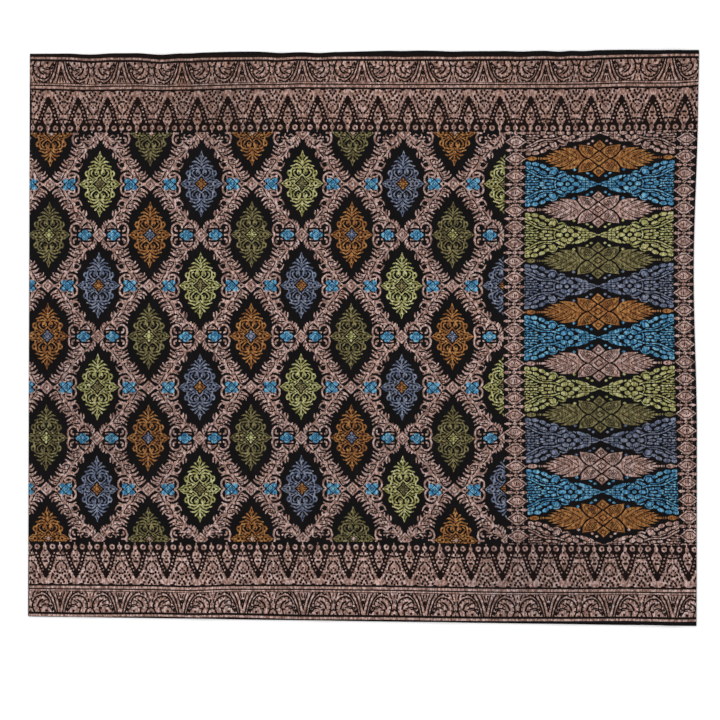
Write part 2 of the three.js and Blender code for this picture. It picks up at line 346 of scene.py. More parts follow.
class Chart:
    """A chart of the design, in squares from its middle. A mirrored chart needs only one side."""
    picks, ends = 2, 3       # weft picks and warp ends per square
    spread = 0.13            # floats swell over the gaps beside them, so gaps are charted that much wider

    def __init__(self, x0, x1, y0, y1, mirror_x=False, mirror_y=False):
        self.x0, self.y0 = x0, y0
        nx, ny = int(np.ceil((x1 - x0) * self.picks)), int(np.ceil((y1 - y0) * self.ends))
        x = x0 + (np.arange(nx) + 0.5) / self.picks
        y = y0 + (np.arange(ny) + 0.5) / self.ends
        x, y = np.abs(x) if mirror_x else x, np.abs(y) if mirror_y else y
        self.x, self.y = np.meshgrid(x, y, indexing="ij")
        self.yarn = np.zeros((nx, ny), np.int8)

    def fill(self, yarn, mask):
        self.yarn[mask] = yarn

    def near_to(self, points, pad):
        """Cells near the points, to keep the distance sums small."""
        lo, hi = points.min(0) - pad, points.max(0) + pad
        return (self.x > lo[0]) & (self.x < hi[0]) & (self.y > lo[1]) & (self.y < hi[1])

    def stroke(self, yarn, points, width, taper=None, shape="line"):
        """A line through the points. taper is the width at its far end; a leaf is pointed at both ends."""
        path = smooth(points) if len(points) > 2 else straight(points)
        near = self.near_to(path, max(width, taper or 0))
        if not near.any():
            return
        x, y = self.x[near], self.y[near]
        best = np.full(x.shape, 1e9)
        where = np.zeros(x.shape)
        for i, (px, py) in enumerate(path):
            d = (x - px) ** 2 + (y - py) ** 2
            closer = d < best
            best[closer] = d[closer]
            where[closer] = i / (len(path) - 1)
        half = np.full(x.shape, width / 2)
        if taper is not None:
            half = (width + (taper - width) * where) / 2
        if shape == "leaf":
            half = width / 2 * np.sin(pi * (0.06 + 0.88 * where)) ** 0.8
        half = half + (self.spread if yarn == GROUND else -self.spread / 2)
        cells = np.zeros(self.x.shape, bool)
        cells[near] = best < half ** 2
        self.yarn[cells] = yarn

    def disc(self, yarn, x, y, r, ry=None):
        swell = self.spread if yarn == GROUND else 0
        self.yarn[((self.x - x) / (r + swell)) ** 2 + ((self.y - y) / ((ry or r) + swell)) ** 2 < 1] = yarn

    def diamond(self, yarn, x, y, rx, ry):
        self.yarn[np.abs(self.x - x) / rx + np.abs(self.y - y) / ry < 1] = yarn

    def diamond_ring(self, yarn, x, y, rx, ry, width):
        d = np.abs(self.x - x) / rx + np.abs(self.y - y) / ry
        self.yarn[np.abs(d - 1) < width / rx] = yarn

    def polygon(self, yarn, points):
        inside = np.zeros(self.x.shape, bool)
        for (ax, ay), (bx, by) in zip(points, points[1:] + points[:1]):
            if ay == by:
                continue
            crosses = (ay > self.y) != (by > self.y)
            inside ^= crosses & (self.x < ax + (bx - ax) * (self.y - ay) / (by - ay))
        self.yarn[inside] = yarn


STEPS_A_SQUARE = 2.5     # how closely a line is followed


def straight(points):
    (ax, ay), (bx, by) = points
    t = np.linspace(0, 1, max(3, int(hypot(bx - ax, by - ay) * STEPS_A_SQUARE)))
    return np.stack([ax + (bx - ax) * t, ay + (by - ay) * t], 1)


def smooth(points):
    """Points along a curve through the given ones."""
    p = np.array([points[0]] + list(points) + [points[-1]], float)
    out = []
    for i in range(1, len(p) - 2):
        a, b, c, d = p[i - 1], p[i], p[i + 1], p[i + 2]
        n = max(3, int(np.hypot(*(c - b)) * STEPS_A_SQUARE))
        for k in range(n):
            t = k / n
            bend, twist = 2 * a - 5 * b + 4 * c - d, 3 * b - a - 3 * c + d
            out.append(0.5 * ((2 * b) + (c - a) * t + bend * t ** 2 + twist * t ** 3))
    out.append(p[-1])
    return np.array(out)


# ---- Medallion --------------------------------------------------------------------
# The flower in each mesh of the lattice, woven in one coloured weft with an accent of another in its middle.
# The loom mirrors it both ways, so only a quarter is charted.
def medallion(main, accent):
    """The diamond-shaped flower that fills each cell; one quarter is drawn and mirrored."""
    c = Chart(-22, 22, -34, 34, True, True)
    # finial with its bud and small leaves
    c.polygon(main, [(0, 33.6), (0.9, 31), (1.5, 28.8), (2.8, 27.4), (1.8, 25.6), (0.9, 24.4), (0, 24)])
    c.fill(main, (c.x < 0.8) & (c.y > 20) & (c.y < 25))
    c.stroke(GROUND, [(0.9, 21.6), (1.1, 24.4), (1.7, 27.0)], 0.55)
    c.stroke(GROUND, [(0, 28.4), (0, 30.4)], 0.5)
    c.stroke(main, [(2.6, 24.2), (4.2, 25.5), (5.6, 26.6)], 1.84, shape="leaf")
    c.stroke(main, [(0.6, 21.8), (2.0, 23.1), (2.9, 23.9)], 1.12)
    # thin leaves that curl out
    c.stroke(main, [(0.6, 19.8), (3.2, 21.1), (6.2, 22.5), (9.2, 21.9)], 1.84, shape="leaf")
    c.diamond(main, 0, 19.1, 1.6, 1.8)
    # broad leaves
    c.stroke(main, [(1.2, 16.2), (3.6, 18.1), (5.6, 19.2), (8.0, 18.3), (11.3, 17.3)], 2.00, taper=1.2)
    c.stroke(main, [(0, 14.9), (1.8, 16.6)], 0.96)
    c.stroke(main, [(2.2, 14.9), (4.6, 15.9), (7.0, 15.6), (9.0, 14.9)], 1.84, taper=1.4)
    # shoulder line and round lobe
    c.stroke(main, [(9.2, 16.0), (10.2, 14.8), (11.4, 13.2), (13.2, 12.6)], 1.36)
    c.disc(main, 12.6, 10.5, 2.7, 3.0)
    c.fill(main, (np.abs(c.x - 11.6) < 1.1) & (np.abs(c.y - 10.0) < 3.2))
    c.disc(GROUND, 12.9, 10.5, 0.8, 1.3)
    c.fill(GROUND, (np.abs(c.x - 10.15) < 0.45) & (np.abs(c.y - 10.4) < 2.2))
    c.stroke(main, [(12.2, 8.2), (10.2, 7.1), (8.2, 5.9), (5.6, 5.0)], 1.04)
    c.stroke(main, [(12.6, 7.6), (12.0, 6.0), (12.6, 4.4)], 1.60)
    # twin scroll
    c.stroke(main, [(0, 9.3), (1.5, 7.4), (3.6, 6.0), (5.6, 6.8), (7.4, 8.6), (8.7, 10.4), (8.6, 12.2),
                    (7.2, 13.3)], 1.28)
    c.disc(main, 3.2, 12.0, 2.2, 2.3)
    c.disc(main, 1.9, 10.9, 1.1, 1.4)
    c.disc(GROUND, 3.5, 10.5, 0.8, 0.7)
    c.stroke(main, [(4.9, 11.2), (4.4, 9.6), (3.0, 9.0)], 0.64)
    # side lobe with its eye
    c.polygon(main, [(21.0, 0), (18.0, 2.4), (15.6, 4.4), (13.2, 4.2), (11.8, 2.4), (10.6, 0)])
    c.fill(main, (c.y < 0.5) & (c.x > 10.4) & (c.x < 20.6))
    c.disc(GROUND, 13.7, 0, 1.15)
    c.stroke(GROUND, [(15.2, 1.6), (17.2, 1.4), (18.8, 0.6)], 0.55)
    c.stroke(GROUND, [(12.4, 3.0), (14.4, 3.2), (16.0, 2.9)], 0.45)
    # lattice beside the middle
    c.stroke(main, [(8.6, 0), (5.4, 2.5), (2.6, 5.2)], 0.96)
    c.disc(main, 6.4, 4.5, 1.2, 1.0)
    c.disc(main, 9.0, 2.2, 1.9, 1.1)
    c.stroke(main, [(9.0, 5.0), (10.6, 4.6), (12.4, 4.4)], 0.88)
    # the accent in the dark middle
    c.diamond(GROUND, 0, 0, 7.2, 6.5)
    c.diamond(accent, 0, 0, 2.6, 2.4)
    rays = main if accent == ROSE else accent
    c.diamond(rays, 0, 4.1, 1.5, 1.7)
    c.stroke(rays, [(1.2, 2.4), (3.8, 1.7)], 1.8, shape="leaf")
    c.stroke(rays, [(2.8, 0), (5.4, 0)], 1.6, shape="leaf")
    return c


# ---- Leafy lattice ----------------------------------------------------------------
# Rose-gold vines that cross between the medallions, with turquoise flowers beside the crossings.
# A quarter of the repeat is charted, from one crossing to the next, and the loom mirrors it.
CELL_X, CELL_Y = 50.5, 50.75      # from a flower column to the next, and from a row to the next


def vine(c):
    """A quarter of the leafy vine, from the dot crossing at 0, 0 to the ring crossing at CELL_X, CELL_Y."""
    stem = [(9.6, 1.4), (12.6, 4.4), (14.7, 7.8), (16.4, 10.8), (18.6, 13.4), (21.6, 16.0), (24.0, 19.0),
            (25.2, 22.5), (26.8, 25.4), (30.0, 27.8), (33.2, 30.4), (35.0, 33.6), (35.4, 36.8)]
    # leaves: width at the stem, width at the tip, and their way from the stem to the tip
    leaves = (
        (2.8, 1.3, (10.6, 5.2), (6.6, 6.2), (4.0, 7.6), (2.8, 9.4)),
        (3.0, 1.3, (12.2, 8.2), (8.0, 9.3), (5.5, 10.8), (4.8, 13.0)),
        (2.8, 1.8, (13.6, 10.0), (10.2, 11.0), (7.8, 12.6)),
        (2.6, 1.3, (17.6, 13.4), (14.0, 14.2), (11.6, 15.4), (9.6, 17.4)),
        (3.2, 1.3, (20.8, 17.2), (17.0, 17.8), (13.6, 19.2), (11.6, 21.2)),
        (3.8, 1.3, (22.8, 21.2), (18.6, 21.4), (15.2, 22.4), (13.9, 24.8)),
        (2.2, 1.6, (25.6, 25.4), (21.6, 26.1), (18.6, 25.5), (17.0, 24.0)),
        (2.2, 1.6, (21.4, 15.6), (25.6, 15.2), (28.8, 13.3)),
        (2.6, 1.3, (27.8, 26.4), (23.6, 27.0), (21.2, 28.4), (19.1, 29.6)),
        (3.2, 1.3, (31.8, 29.4), (27.6, 30.3), (24.0, 31.6), (20.5, 33.7)),
        (3.6, 1.3, (33.8, 33.2), (28.6, 33.5), (24.6, 34.6), (21.2, 37.3)),
        (2.2, 1.4, (35.0, 36.6), (31.0, 37.8), (28.0, 37.1), (26.6, 36.0)),
        (2.2, 1.3, (29.6, 28.0), (30.2, 26.0), (30.9, 23.5)),
        (2.6, 1.4, (32.8, 30.0), (33.9, 28.0), (34.5, 25.8)),
        (2.6, 1.5, (34.8, 32.8), (36.6, 30.0), (37.1, 26.8)),
        (2.0, 1.5, (34.8, 34.4), (37.0, 34.6)),
        (2.4, 1.9, (35.4, 36.6), (34.0, 39.4), (32.4, 42.4), (31.6, 46.0)),
        (2.2, 1.8, (35.2, 36.6), (38.4, 36.5), (40.6, 37.4)),
        (2.8, 1.4, (45.4, 45.6), (47.0, 43.2), (47.8, 41.0)),
        (2.8, 1.4, (43.8, 42.6), (45.4, 40.6), (46.2, 38.4)),
        (2.6, 1.3, (42.2, 40.6), (43.6, 38.8), (44.5, 36.8)),
        (2.6, 1.3, (40.4, 38.8), (41.0, 37.2), (41.5, 35.7)),
        (1.8, 1.4, (43.8, 46.6), (39.4, 45.7), (35.2, 46.0)),
        (2.2, 1.6, (42.6, 43.2), (38.6, 42.1), (35.2, 42.9), (33.4, 45.2)),
        (2.0, 1.6, (41.2, 40.6), (38.4, 40.9), (36.6, 41.4)),
    )
    # dark slits between the leaves: width and way
    slits = (
        (1.3, (3.4, 5.8), (5.2, 4.7), (7.0, 4.0)), (1.1, (4.4, 9.6), (5.8, 8.7), (7.4, 8.1)),
        (0.7, (7.8, 7.6), (11.0, 7.3)),
        (0.9, (6.2, 12.2), (7.4, 11.2), (9.2, 10.3)),
        (0.9, (8.0, 2.2), (10.6, 4.0), (12.3, 6.8), (13.7, 9.4), (14.9, 11.4)),
        (1.5, (11.0, 18.8), (13.4, 16.9), (16.8, 16.1)), (0.7, (16.6, 19.5), (21.6, 19.3)),
        (1.0, (13.0, 21.6), (14.8, 20.3)),
        (0.9, (18.7, 15.2), (20.6, 16.9), (21.6, 18.9), (23.1, 21.0), (23.9, 23.6)),
        (1.0, (19.4, 24.2), (23.4, 24.1)),
        (0.9, (15.8, 24.0), (16.8, 22.9)), (1.0, (21.4, 14.0), (23.6, 13.6)),
        (1.5, (21.2, 30.6), (23.6, 28.9), (27.4, 28.4)),
        (0.8, (26.8, 31.7), (33.0, 31.4)), (0.9, (29.2, 26.8), (31.0, 28.9), (33.0, 31.2), (34.3, 33.8)),
        (1.0, (30.0, 36.2), (33.2, 36.0)), (0.9, (45.2, 46.6), (43.6, 43.8), (42.0, 40.9), (39.6, 38.6)),
        (0.9, (32.6, 45.2), (33.8, 41.9), (35.4, 39.6)), (0.7, (41.6, 44.4), (37.4, 43.9)),
        (0.8, (25.6, 21.6), (26.4, 23.4)),
    )
    for width, tip, *way in leaves:
        c.stroke(ROSE, way, width * 1.5, taper=tip * 0.7)
    c.stroke(ROSE, stem, 3.0)
    for width, *way in slits:
        c.stroke(GROUND, way, width)
    for x, y, rx, ry in ((11.9, 12.5, 1.6, 0.75), (24.3, 33.0, 0.9, 0.6), (22.6, 35.3, 0.8, 0.6),
                         (36.7, 32.1, 0.7, 0.5),
                         (36.6, 39.9, 1.7, 0.8), (26.3, 35.1, 0.8, 0.5), (35.8, 28.3, 0.5, 1.2),
                         (32.4, 26.6, 0.5, 1.0)):
        c.disc(GROUND, x, y, rx, ry)
    # specks between the leaves: place and half sizes
    for x, y, rx, ry in ((9.4, 5.6, 1.2, 0.5), (7.6, 10.6, 0.9, 0.5), (13.2, 7.4, 0.6, 0.9),
                         (11.2, 9.4, 0.7, 0.5), (15.8, 12.6, 0.5, 0.8), (16.4, 18.0, 0.9, 0.5),
                         (19.8, 16.2, 0.6, 0.9), (18.6, 21.8, 0.9, 0.6), (21.2, 22.6, 0.7, 0.6),
                         (24.8, 27.2, 0.8, 0.6), (28.6, 30.0, 1.0, 0.5),
                         (31.4, 29.6, 0.5, 0.9), (27.4, 33.0, 0.9, 0.5), (30.8, 34.2, 0.8, 0.6),
                         (35.6, 30.6, 0.6, 0.7), (37.6, 38.4, 1.1, 0.5),
                         (41.6, 39.4, 0.5, 0.8), (43.4, 41.8, 0.5, 0.8), (38.2, 41.8, 1.3, 0.5),
                         (45.6, 43.8, 0.6, 0.7), (40.2, 44.8, 1.2, 0.5)):
        c.disc(GROUND, x, y, rx, ry)
    # forked twig beside the second spray
    c.stroke(ROSE, [(24.4, 17.4), (28.0, 15.9), (30.8, 17.5), (32.4, 20.8)], 2.3, taper=1.0)
    c.stroke(ROSE, [(26.2, 22.6), (28.8, 22.2), (30.8, 20.6)], 1.8, taper=0.9)
    c.disc(GROUND, 27.9, 19.2, 1.6, 1.5)


def crossing_diamond(c, x, y):
    """The stepped lozenge where two vines cross."""
    c.diamond(GROUND, x, y, 8.2, 8.0)
    c.diamond(ROSE, x, y, 7.2, 7.0)
    c.diamond_ring(GROUND, x, y, 4.3, 4.3, 0.42)
    c.diamond(GROUND, x, y, 1.1, 1.1)


def lattice():
    """A quarter of the lattice's repeat."""
    c = Chart(0, CELL_X, 0, CELL_Y)
    vine(c)
    # dot crossing: diamond, dotted link, flower, and a volute that turns back over the flower
    c.fill(GROUND, (np.abs(c.x - 18.9) < 7.4) & (c.y < 5.6 - 0.25 * np.abs(c.x - 18.9)))
    c.stroke(ROSE, [(26.6, 0.4), (28.6, 2.4), (29.3, 5.4), (28.3, 8.4), (25.8, 10.5), (22.6, 11.3),
                    (20.0, 10.5), (18.8, 8.9),
                    (19.8, 7.2), (21.8, 7.2), (24.8, 8.0)], 1.9)
    c.stroke(ROSE, [(25.8, 9.6), (24.9, 7.4), (24.8, 5.4)], 1.5)
    c.stroke(ROSE, [(14.6, 8.0), (16.2, 6.4), (18.2, 5.6), (20.2, 6.6)], 1.3)
    c.disc(GROUND, 22.3, 9.0, 1.1, 0.9)
    c.disc(GROUND, 23.3, 6.2, 0.9, 0.8)
    square_flower(c, 19.4, 0, 6.2, 5.6)
    crossing_diamond(c, 0, 0)
    c.stroke(ROSE, [(5.0, 0), (10.0, 0), (12.4, 0)], 2.6)
    c.disc(ROSE, 10.2, 0, 2.4, 2.4)
    c.disc(GROUND, 10.2, 0, 1.1)
    # ring crossing: diamond, flower and round scrolls
    ax, ay = CELL_X, CELL_Y
    c.fill(GROUND, (np.abs(c.x - ax + 14.8) < 7.0) & (c.y > ay - 5.4 + 0.25 * np.abs(c.x - ax + 14.8)))
    c.disc(GROUND, ax - 23.8, ay - 7.0, 6.4, 6.6)
    c.stroke(ROSE, [(ax - 27.0, ay), (ax - 28.9, ay - 3.6), (ax - 28.2, ay - 8.4), (ax - 25.4, ay - 11.3),
                    (ax - 22.0, ay - 11.5),
                    (ax - 19.2, ay - 9.4), (ax - 18.8, ay - 6.6), (ax - 20.4, ay - 4.4),
                    (ax - 23.2, ay - 3.9), (ax - 25.6, ay - 5.2),
                    (ax - 25.4, ay - 7.4)], 1.9)
    c.stroke(ROSE, [(ax - 29.5, ay), (ax - 21.0, ay)], 1.8, shape="leaf")
    wide_flower(c, ax - 14.4, ay, 6.8, 5.2)
    crossing_diamond(c, ax, ay)
    return c


def square_flower(c, x, y, rx, ry):
    """A blossom of four petals set in a square round a diamond."""
    for dx in (-rx * 0.54, rx * 0.54):
        for dy in (-ry * 0.58, ry * 0.58):
            c.disc(TURQUOISE, x + dx, y + dy, rx * 0.46, ry * 0.44)
    c.disc(TURQUOISE, x, y, rx * 0.7, ry * 0.7)
    c.diamond(GROUND, x, y, rx * 0.84, ry * 0.88)
    c.diamond(TURQUOISE, x, y, rx * 0.66, ry * 0.7)
    c.diamond_ring(GROUND, x, y, rx * 0.34, ry * 0.36, 0.3)


def wide_flower(c, x, y, rx, ry):
    """A blossom of four petals set in a lozenge round a diamond."""
    c.diamond(TURQUOISE, x, y, rx * 1.12, ry * 1.2)
    dx, dy = np.abs(c.x - x), np.abs(c.y - y)
    c.fill(GROUND, (dx < rx * 1.2) & (dy > ry * 0.96) & (dy < ry * 1.3))
    c.fill(GROUND, (dy < ry) & (dx > rx * 0.96) & (dx < rx * 1.3))
    c.diamond_ring(GROUND, x, y, rx * 0.6, ry * 0.64, 0.45)
    for across, up in ((0.5, 0.52), (-0.5, 0.52), (0.5, -0.52), (-0.5, -0.52)):
        c.disc(GROUND, x + across * rx, y + up * ry, 0.6, 0.5)
    c.diamond_ring(GROUND, x, y, rx * 0.24, ry * 0.26, 0.25)


# ---- Borders ----------------------------------------------------------------------
# Along both selvedges the rose-gold weft floats nearly everywhere: a band of scrolls, and a row of bamboo
# shoots that point into the field. The dark ground shows as thin lines and dots between the leaves.
SHOOT_PITCH = 30.15
SCROLL_PITCH = 2 * SHOOT_PITCH
SCROLL_HEIGHT = 20.6
SHOOT_HEIGHT = 44.0


def scroll_band():
    """One repeat of the scroll band: a cone of leaves, a scroll on each side, a lily at each end."""
    half = SCROLL_PITCH / 2
    c = Chart(-half, half, 0, SCROLL_HEIGHT, True)
    c.fill(ROSE, c.y >= 0)
    c.spread = 0.16
    # dark lines between the leaves: width and way
    lines = (
        (1.3, (2.6, 0.0), (4.0, 7.0), (5.2, 11.0), (6.6, 15.2), (8.6, 18.6), (10.2, 21.4)),
        (1.7, (5.0, 10.4), (6.4, 14.8), (8.0, 17.6)),
        (1.2, (0.0, 4.6), (1.0, 9.0), (3.0, 15.8), (4.4, 19.6)), (1.1, (0.9, 15.6), (1.7, 19.2)),
        (1.0, (0.0, 10.2), (0.6, 13.0)),
        (1.4, (5.0, 0.6), (7.0, 7.8), (8.7, 11.8), (10.8, 15.6), (14.0, 18.6), (17.2, 20.4)),
        (1.4, (10.8, 8.6), (11.3, 12.2), (13.3, 15.0), (16.8, 16.9), (20.8, 16.3), (23.8, 14.8),
         (26.3, 11.8), (27.6, 8.0), (27.4, 4.2), (25.6, 0.0)),
        (1.3, (10.2, 6.6), (13.0, 7.6), (15.6, 7.4), (17.8, 6.4)),
        (1.7, (22.6, 6.0), (20.8, 10.2), (17.6, 12.4)), (1.3, (17.8, 9.6), (16.2, 10.8), (14.4, 12.0)),
        (1.2, (20.0, 0.6), (20.3, 4.0), (18.2, 4.6)), (1.1, (9.4, 3.0), (10.6, 5.2), (13.8, 5.8)),
        (1.1, (28.4, 3.6), (30.2, 5.4)), (1.2, (27.4, 15.6), (26.8, 18.6), (25.2, 21.4)),
        (1.2, (23.4, 18.4), (20.4, 19.2), (18.4, 21.2)),
        (1.1, (28.6, 10.6), (28.4, 13.6)), (1.1, (12.6, 17.2), (12.4, 20.8)),
    )
    for width, *way in lines:
        c.stroke(GROUND, way, width)
    # dark gaps: place and half sizes; the last row notches the back of the scroll into lobes
    for x, y, rx, ry in ((7.6, 2.6, 1.1, 2.0), (8.6, 6.2, 0.8, 1.2), (13.6, 1.4, 1.3, 1.1),
                         (20.6, 4.6, 1.2, 1.0), (15.2, 20.2, 1.0, 0.7),
                         (30.2, 12.4, 0.5, 0.8), (30.2, 17.8, 0.5, 1.3), (30.2, 0.4, 1.0, 0.5),
                         (16.2, 8.8, 0.6, 0.5), (22.6, 19.8, 0.8, 0.5),
                         (12.6, 12.4, 0.7, 0.5), (15.0, 14.8, 0.5, 0.6), (18.6, 15.4, 0.5, 0.7),
                         (21.8, 14.4, 0.5, 0.7), (24.4, 12.2, 0.7, 0.5),
                         (25.9, 8.8, 0.7, 0.5), (26.0, 5.0, 0.7, 0.5)):
        c.disc(GROUND, x, y, rx, ry)
    # bead between the stem and the scroll
    c.disc(GROUND, 9.8, 8.4, 1.8, 1.8)
    c.disc(ROSE, 9.8, 8.4, 1.1, 1.1)
    return c


def shoots():
    """One repeat of the bamboo shoots, from the inner line (y 0) to the row of rings."""
    half = SHOOT_PITCH / 2
    c = Chart(-half, half, 0, SHOOT_HEIGHT, True)
    # the broad shoot narrows down to its bud
    edge = np.interp(c.y, [0, 5.6, 6.6, 9.6, 11.6, 14.6, 17.6, 20.6, 23.6, 26.6, 29.6, 31.6, 34.6, 35.4,
                           35.5],
                     [half + 1, half + 1, 13.7, 12.5, 11.5, 10.0, 8.5, 7.5, 6.6, 5.7, 4.7, 3.8, 2.4, 1.2,
                      0])
    c.fill(ROSE, c.x < edge - 0.9 * (c.y % 2.9 < 1.3) * (c.y > 9))
    # the slim shoot stands in the dark spire between two broad ones
    x = half - c.x
    slim = np.interp(c.y, [16.0, 18.6, 21.1, 22.0, 23.0, 24.4, 25.6, 27.6, 29.0, 32.0, 34.6, 35.6],
                     [0, 1.4, 2.5, 2.6, 3.5, 3.7, 3.4, 4.5, 4.9, 3.8, 2.0, 1.1])
    c.fill(ROSE, (c.y > 16) & (c.y < 35.6) & (x < slim))

    def dots(yarn, *places):
        """Dots, from place and half sizes."""
        for dx, y, rx, ry in places:
            grow = 0.26 if yarn == GROUND else 0.22
            c.disc(yarn, dx, y, rx + grow, ry + grow)
    # dark dots of the broad shoot: a net at its foot, a ring round the flower, a chevron
    dots(GROUND, (0, 6.4, 0.7, 1.0), (1.8, 4.3, 0.9, 0.8), (2.9, 2.0, 0.8, 1.0), (4.0, 8.4, 1.0, 1.3),
         (5.9, 5.9, 0.7, 0.9), (1.3, 11.2, 0.9, 0.8),
         (3.6, 12.6, 0.9, 1.1), (5.5, 16.6, 0.7, 2.1), (4.4, 19.9, 0.8, 0.8), (2.9, 21.6, 0.9, 0.8),
         (1.5, 23.4, 0.9, 0.8), (4.2, 24.0, 0.5, 0.6),
         (1.5, 28.9, 1.0, 0.8), (3.4, 29.0, 0.6, 0.8), (0, 31.6, 0.5, 1.4), (1.5, 33.9, 0.8, 0.9),
         (0, 16.8, 0.5, 0.9), (2.0, 15.0, 0.4, 0.6),
         (9.4, 7.0, 0.6, 1.3), (8.2, 9.6, 0.8, 1.2), (7.5, 2.4, 0.9, 0.9), (6.6, 12.4, 0.5, 0.7),
         (9.6, 0.2, 2.0, 0.7), (0, 0.8, 0.6, 0.7))
    # of the slim shoot
    dots(GROUND, (half, 23.2, 2.1, 0.9), (half - 1.6, 29.3, 0.8, 0.7), (half, 34.2, 0.7, 0.8),
         (half - 3.8, 26.3, 0.7, 0.7), (half, 27.0, 0.9, 0.5))
    # pale dots in the dark
    dots(ROSE, (half - 2.7, 14.6, 0.5, 0.6), (half - 4.1, 17.6, 0.5, 0.6), (half - 5.0, 21.2, 0.6, 0.7),
         (half - 6.3, 24.8, 0.6, 0.7),
         (half - 7.4, 28.4, 0.5, 0.6), (half - 8.7, 31.6, 0.6, 0.7))
    # buds at the tips, and rings between them
    for bx, rx in ((0, 2.3), (half, 1.9)):
        c.disc(ROSE, bx, 37.7, rx, 2.6)
        c.fill(ROSE, (np.abs(c.x - bx) < 0.6) & (c.y > 38) & (c.y < 42.6))
    c.disc(GROUND, 0, 37.2, 0.4, 0.8)
    c.disc(ROSE, half / 2, 38.0, 2.7, 2.7)
    c.disc(GROUND, half / 2, 38.0, 0.9, 0.9)
    return c


# ---- Kepala -----------------------------------------------------------------------
# The head panel, worn in front: long star flowers and bow ties in six yarns, stacked between two chains.
# Each is mirrored both ways.
CHAIN_PITCH = 17.14
PANEL_HALF = 74.5
CHAIN_CENTRE = 84.7      # from the panel's middle to a chain's
CHAIN_HALF = 10.4


def chain():
    """One link of the chain: a long lozenge with a double heart, and a bow of two leaves between links."""
    c = Chart(-CHAIN_HALF, CHAIN_HALF, -CHAIN_PITCH / 2, CHAIN_PITCH / 2, True, True)
    d = np.maximum(c.x - 2.4, 0) / 7.8 + c.y / 5.9
    c.fill(ROSE, d < 1.03)
    c.fill(GROUND, (d < 0.74) & (d > 0.56))
    c.disc(GROUND, 7.8, 0, 0.7, 0.6)
    c.disc(GROUND, 0, 0, 0.45, 2.0)
    c.disc(GROUND, 2.1, 0, 0.45, 0.6)
    c.stroke(ROSE, [(3.0, CHAIN_PITCH / 2), (10.2, CHAIN_PITCH / 2)], 3.0, shape="leaf")
    c.diamond(ROSE, 0, CHAIN_PITCH / 2, 2.6, 2.1)
    c.disc(GROUND, 0, CHAIN_PITCH / 2, 0.5, 0.6)
    c.disc(ROSE, 5.4, 5.4, 0.6)
    return c


def star_lozenge(main):
    """A long lozenge: an eight-petalled star flower between two sprays of leaves that end in a bead."""
    c = Chart(-PANEL_HALF, PANEL_HALF, -20, 20, True, True)
    # spray of pointed leaves, from the star outwards: corners round each leaf
    leaves = (
        ((13.6, 0), (15.6, 0.8), (18.8, 3.6), (21.6, 7.6), (24.0, 9.6), (28.0, 10.4), (33.0, 10.8),
         (39.6, 10.8), (35.0, 8.6), (31.5, 6.6), (28.0, 4.1), (24.0, 1.5), (21.0, 0)),
        ((22.6, 0), (25.4, 1.4), (28.4, 3.5), (31.5, 5.7), (35.0, 7.5), (39.5, 8.3), (47.4, 7.8),
         (41.5, 5.6), (37.0, 3.5), (33.0, 1.3), (30.6, 0)),
        ((32.0, 0), (35.0, 1.5), (38.0, 3.2), (41.6, 4.8), (45.0, 5.5), (51.4, 5.3), (46.4, 3.4),
         (42.4, 1.7), (39.0, 0)),
        ((40.4, 0), (43.4, 1.3), (47.0, 2.7), (50.0, 3.3), (54.6, 3.3), (50.8, 1.6), (47.0, 0)),
        ((48.4, 0), (51.2, 1.0), (57.0, 0.9), (58.0, 0)),
    )
    for corners in leaves:
        c.polygon(main, list(corners))
    # ribs and hollows of the leaves: way and width
    for *way, width in (((22.5, 3.6), (25.4, 6.2), (30.0, 8.4), 0.4),
                        ((28.0, 2.0), (33.0, 4.9), (39.0, 6.8), 0.4),
                        ((36.0, 1.1), (40.5, 3.2), (45.6, 4.5), 0.4)):
        c.stroke(GROUND, way, width)
    c.disc(GROUND, 24.6, 6.6, 0.9, 0.6)
    c.fill(main, (c.x > 57.4) & (c.x < 62) & (c.x % 2.3 > 1.0) & (c.y < 0.9))
    c.disc(main, 68.0, 0, 4.6, 2.1)
    c.disc(GROUND, 66.6, 0, 0.7, 0.4)
    c.disc(main, 73.6, 0, 0.7, 0.8)
    # petals of the star
    c.polygon(GROUND, [(0, 7.6), (6.6, 12.0), (13.8, 13.8), (21.3, 14.4), (20.8, 8.4), (18.0, 4.2),
                       (14.4, 1.2), (11.4, 0), (8, 0)])
    c.polygon(main, [(1.9, 7.6), (7.4, 11.9), (13.8, 13.2), (20.8, 13.9), (20.3, 8.6), (17.5, 4.7),
                     (13.8, 1.7), (10.4, 0.4)])
    # fine mesh inside each petal, and a line along its rim
    for k in range(5):
        c.stroke(GROUND, [(5.6 + 1.8 * k, 7.2 + 0.75 * k), (8.6 + 1.8 * k, 3.6 + 0.75 * k)], 0.36)
        c.stroke(GROUND, [(6.2 + 0.9 * k, 4.6 + 1.5 * k), (12.0 + 0.9 * k, 4.8 + 1.5 * k)], 0.3)
    c.stroke(GROUND, [(6.4, 9.2), (12.0, 11.6), (17.4, 11.8), (17.6, 8.4), (13.8, 4.2)], 0.4)
    # heart of the star
    c.diamond(GROUND, 0, 0, 9.4, 7.2)
    c.diamond(main, 0, 0, 9.0, 6.9)
    c.diamond_ring(GROUND, 0, 0, 4.4, 3.4, 0.85)
    c.disc(GROUND, 0, 0, 0.5, 0.4)
    # small flowers above and below
    c.polygon(GROUND, [(0, 7.6), (6.6, 13.0), (0, 20)])
    c.polygon(main, [(0, 8.0), (6.2, 13.0), (3.6, 15.4), (0, 18.6)])
    c.fill(main, (c.x < 0.6) & (c.y > 8.3) & (c.y < 18))
    c.stroke(GROUND, [(0, 11.4), (2.6, 13.4), (0, 15.8)], 0.5)
    return c


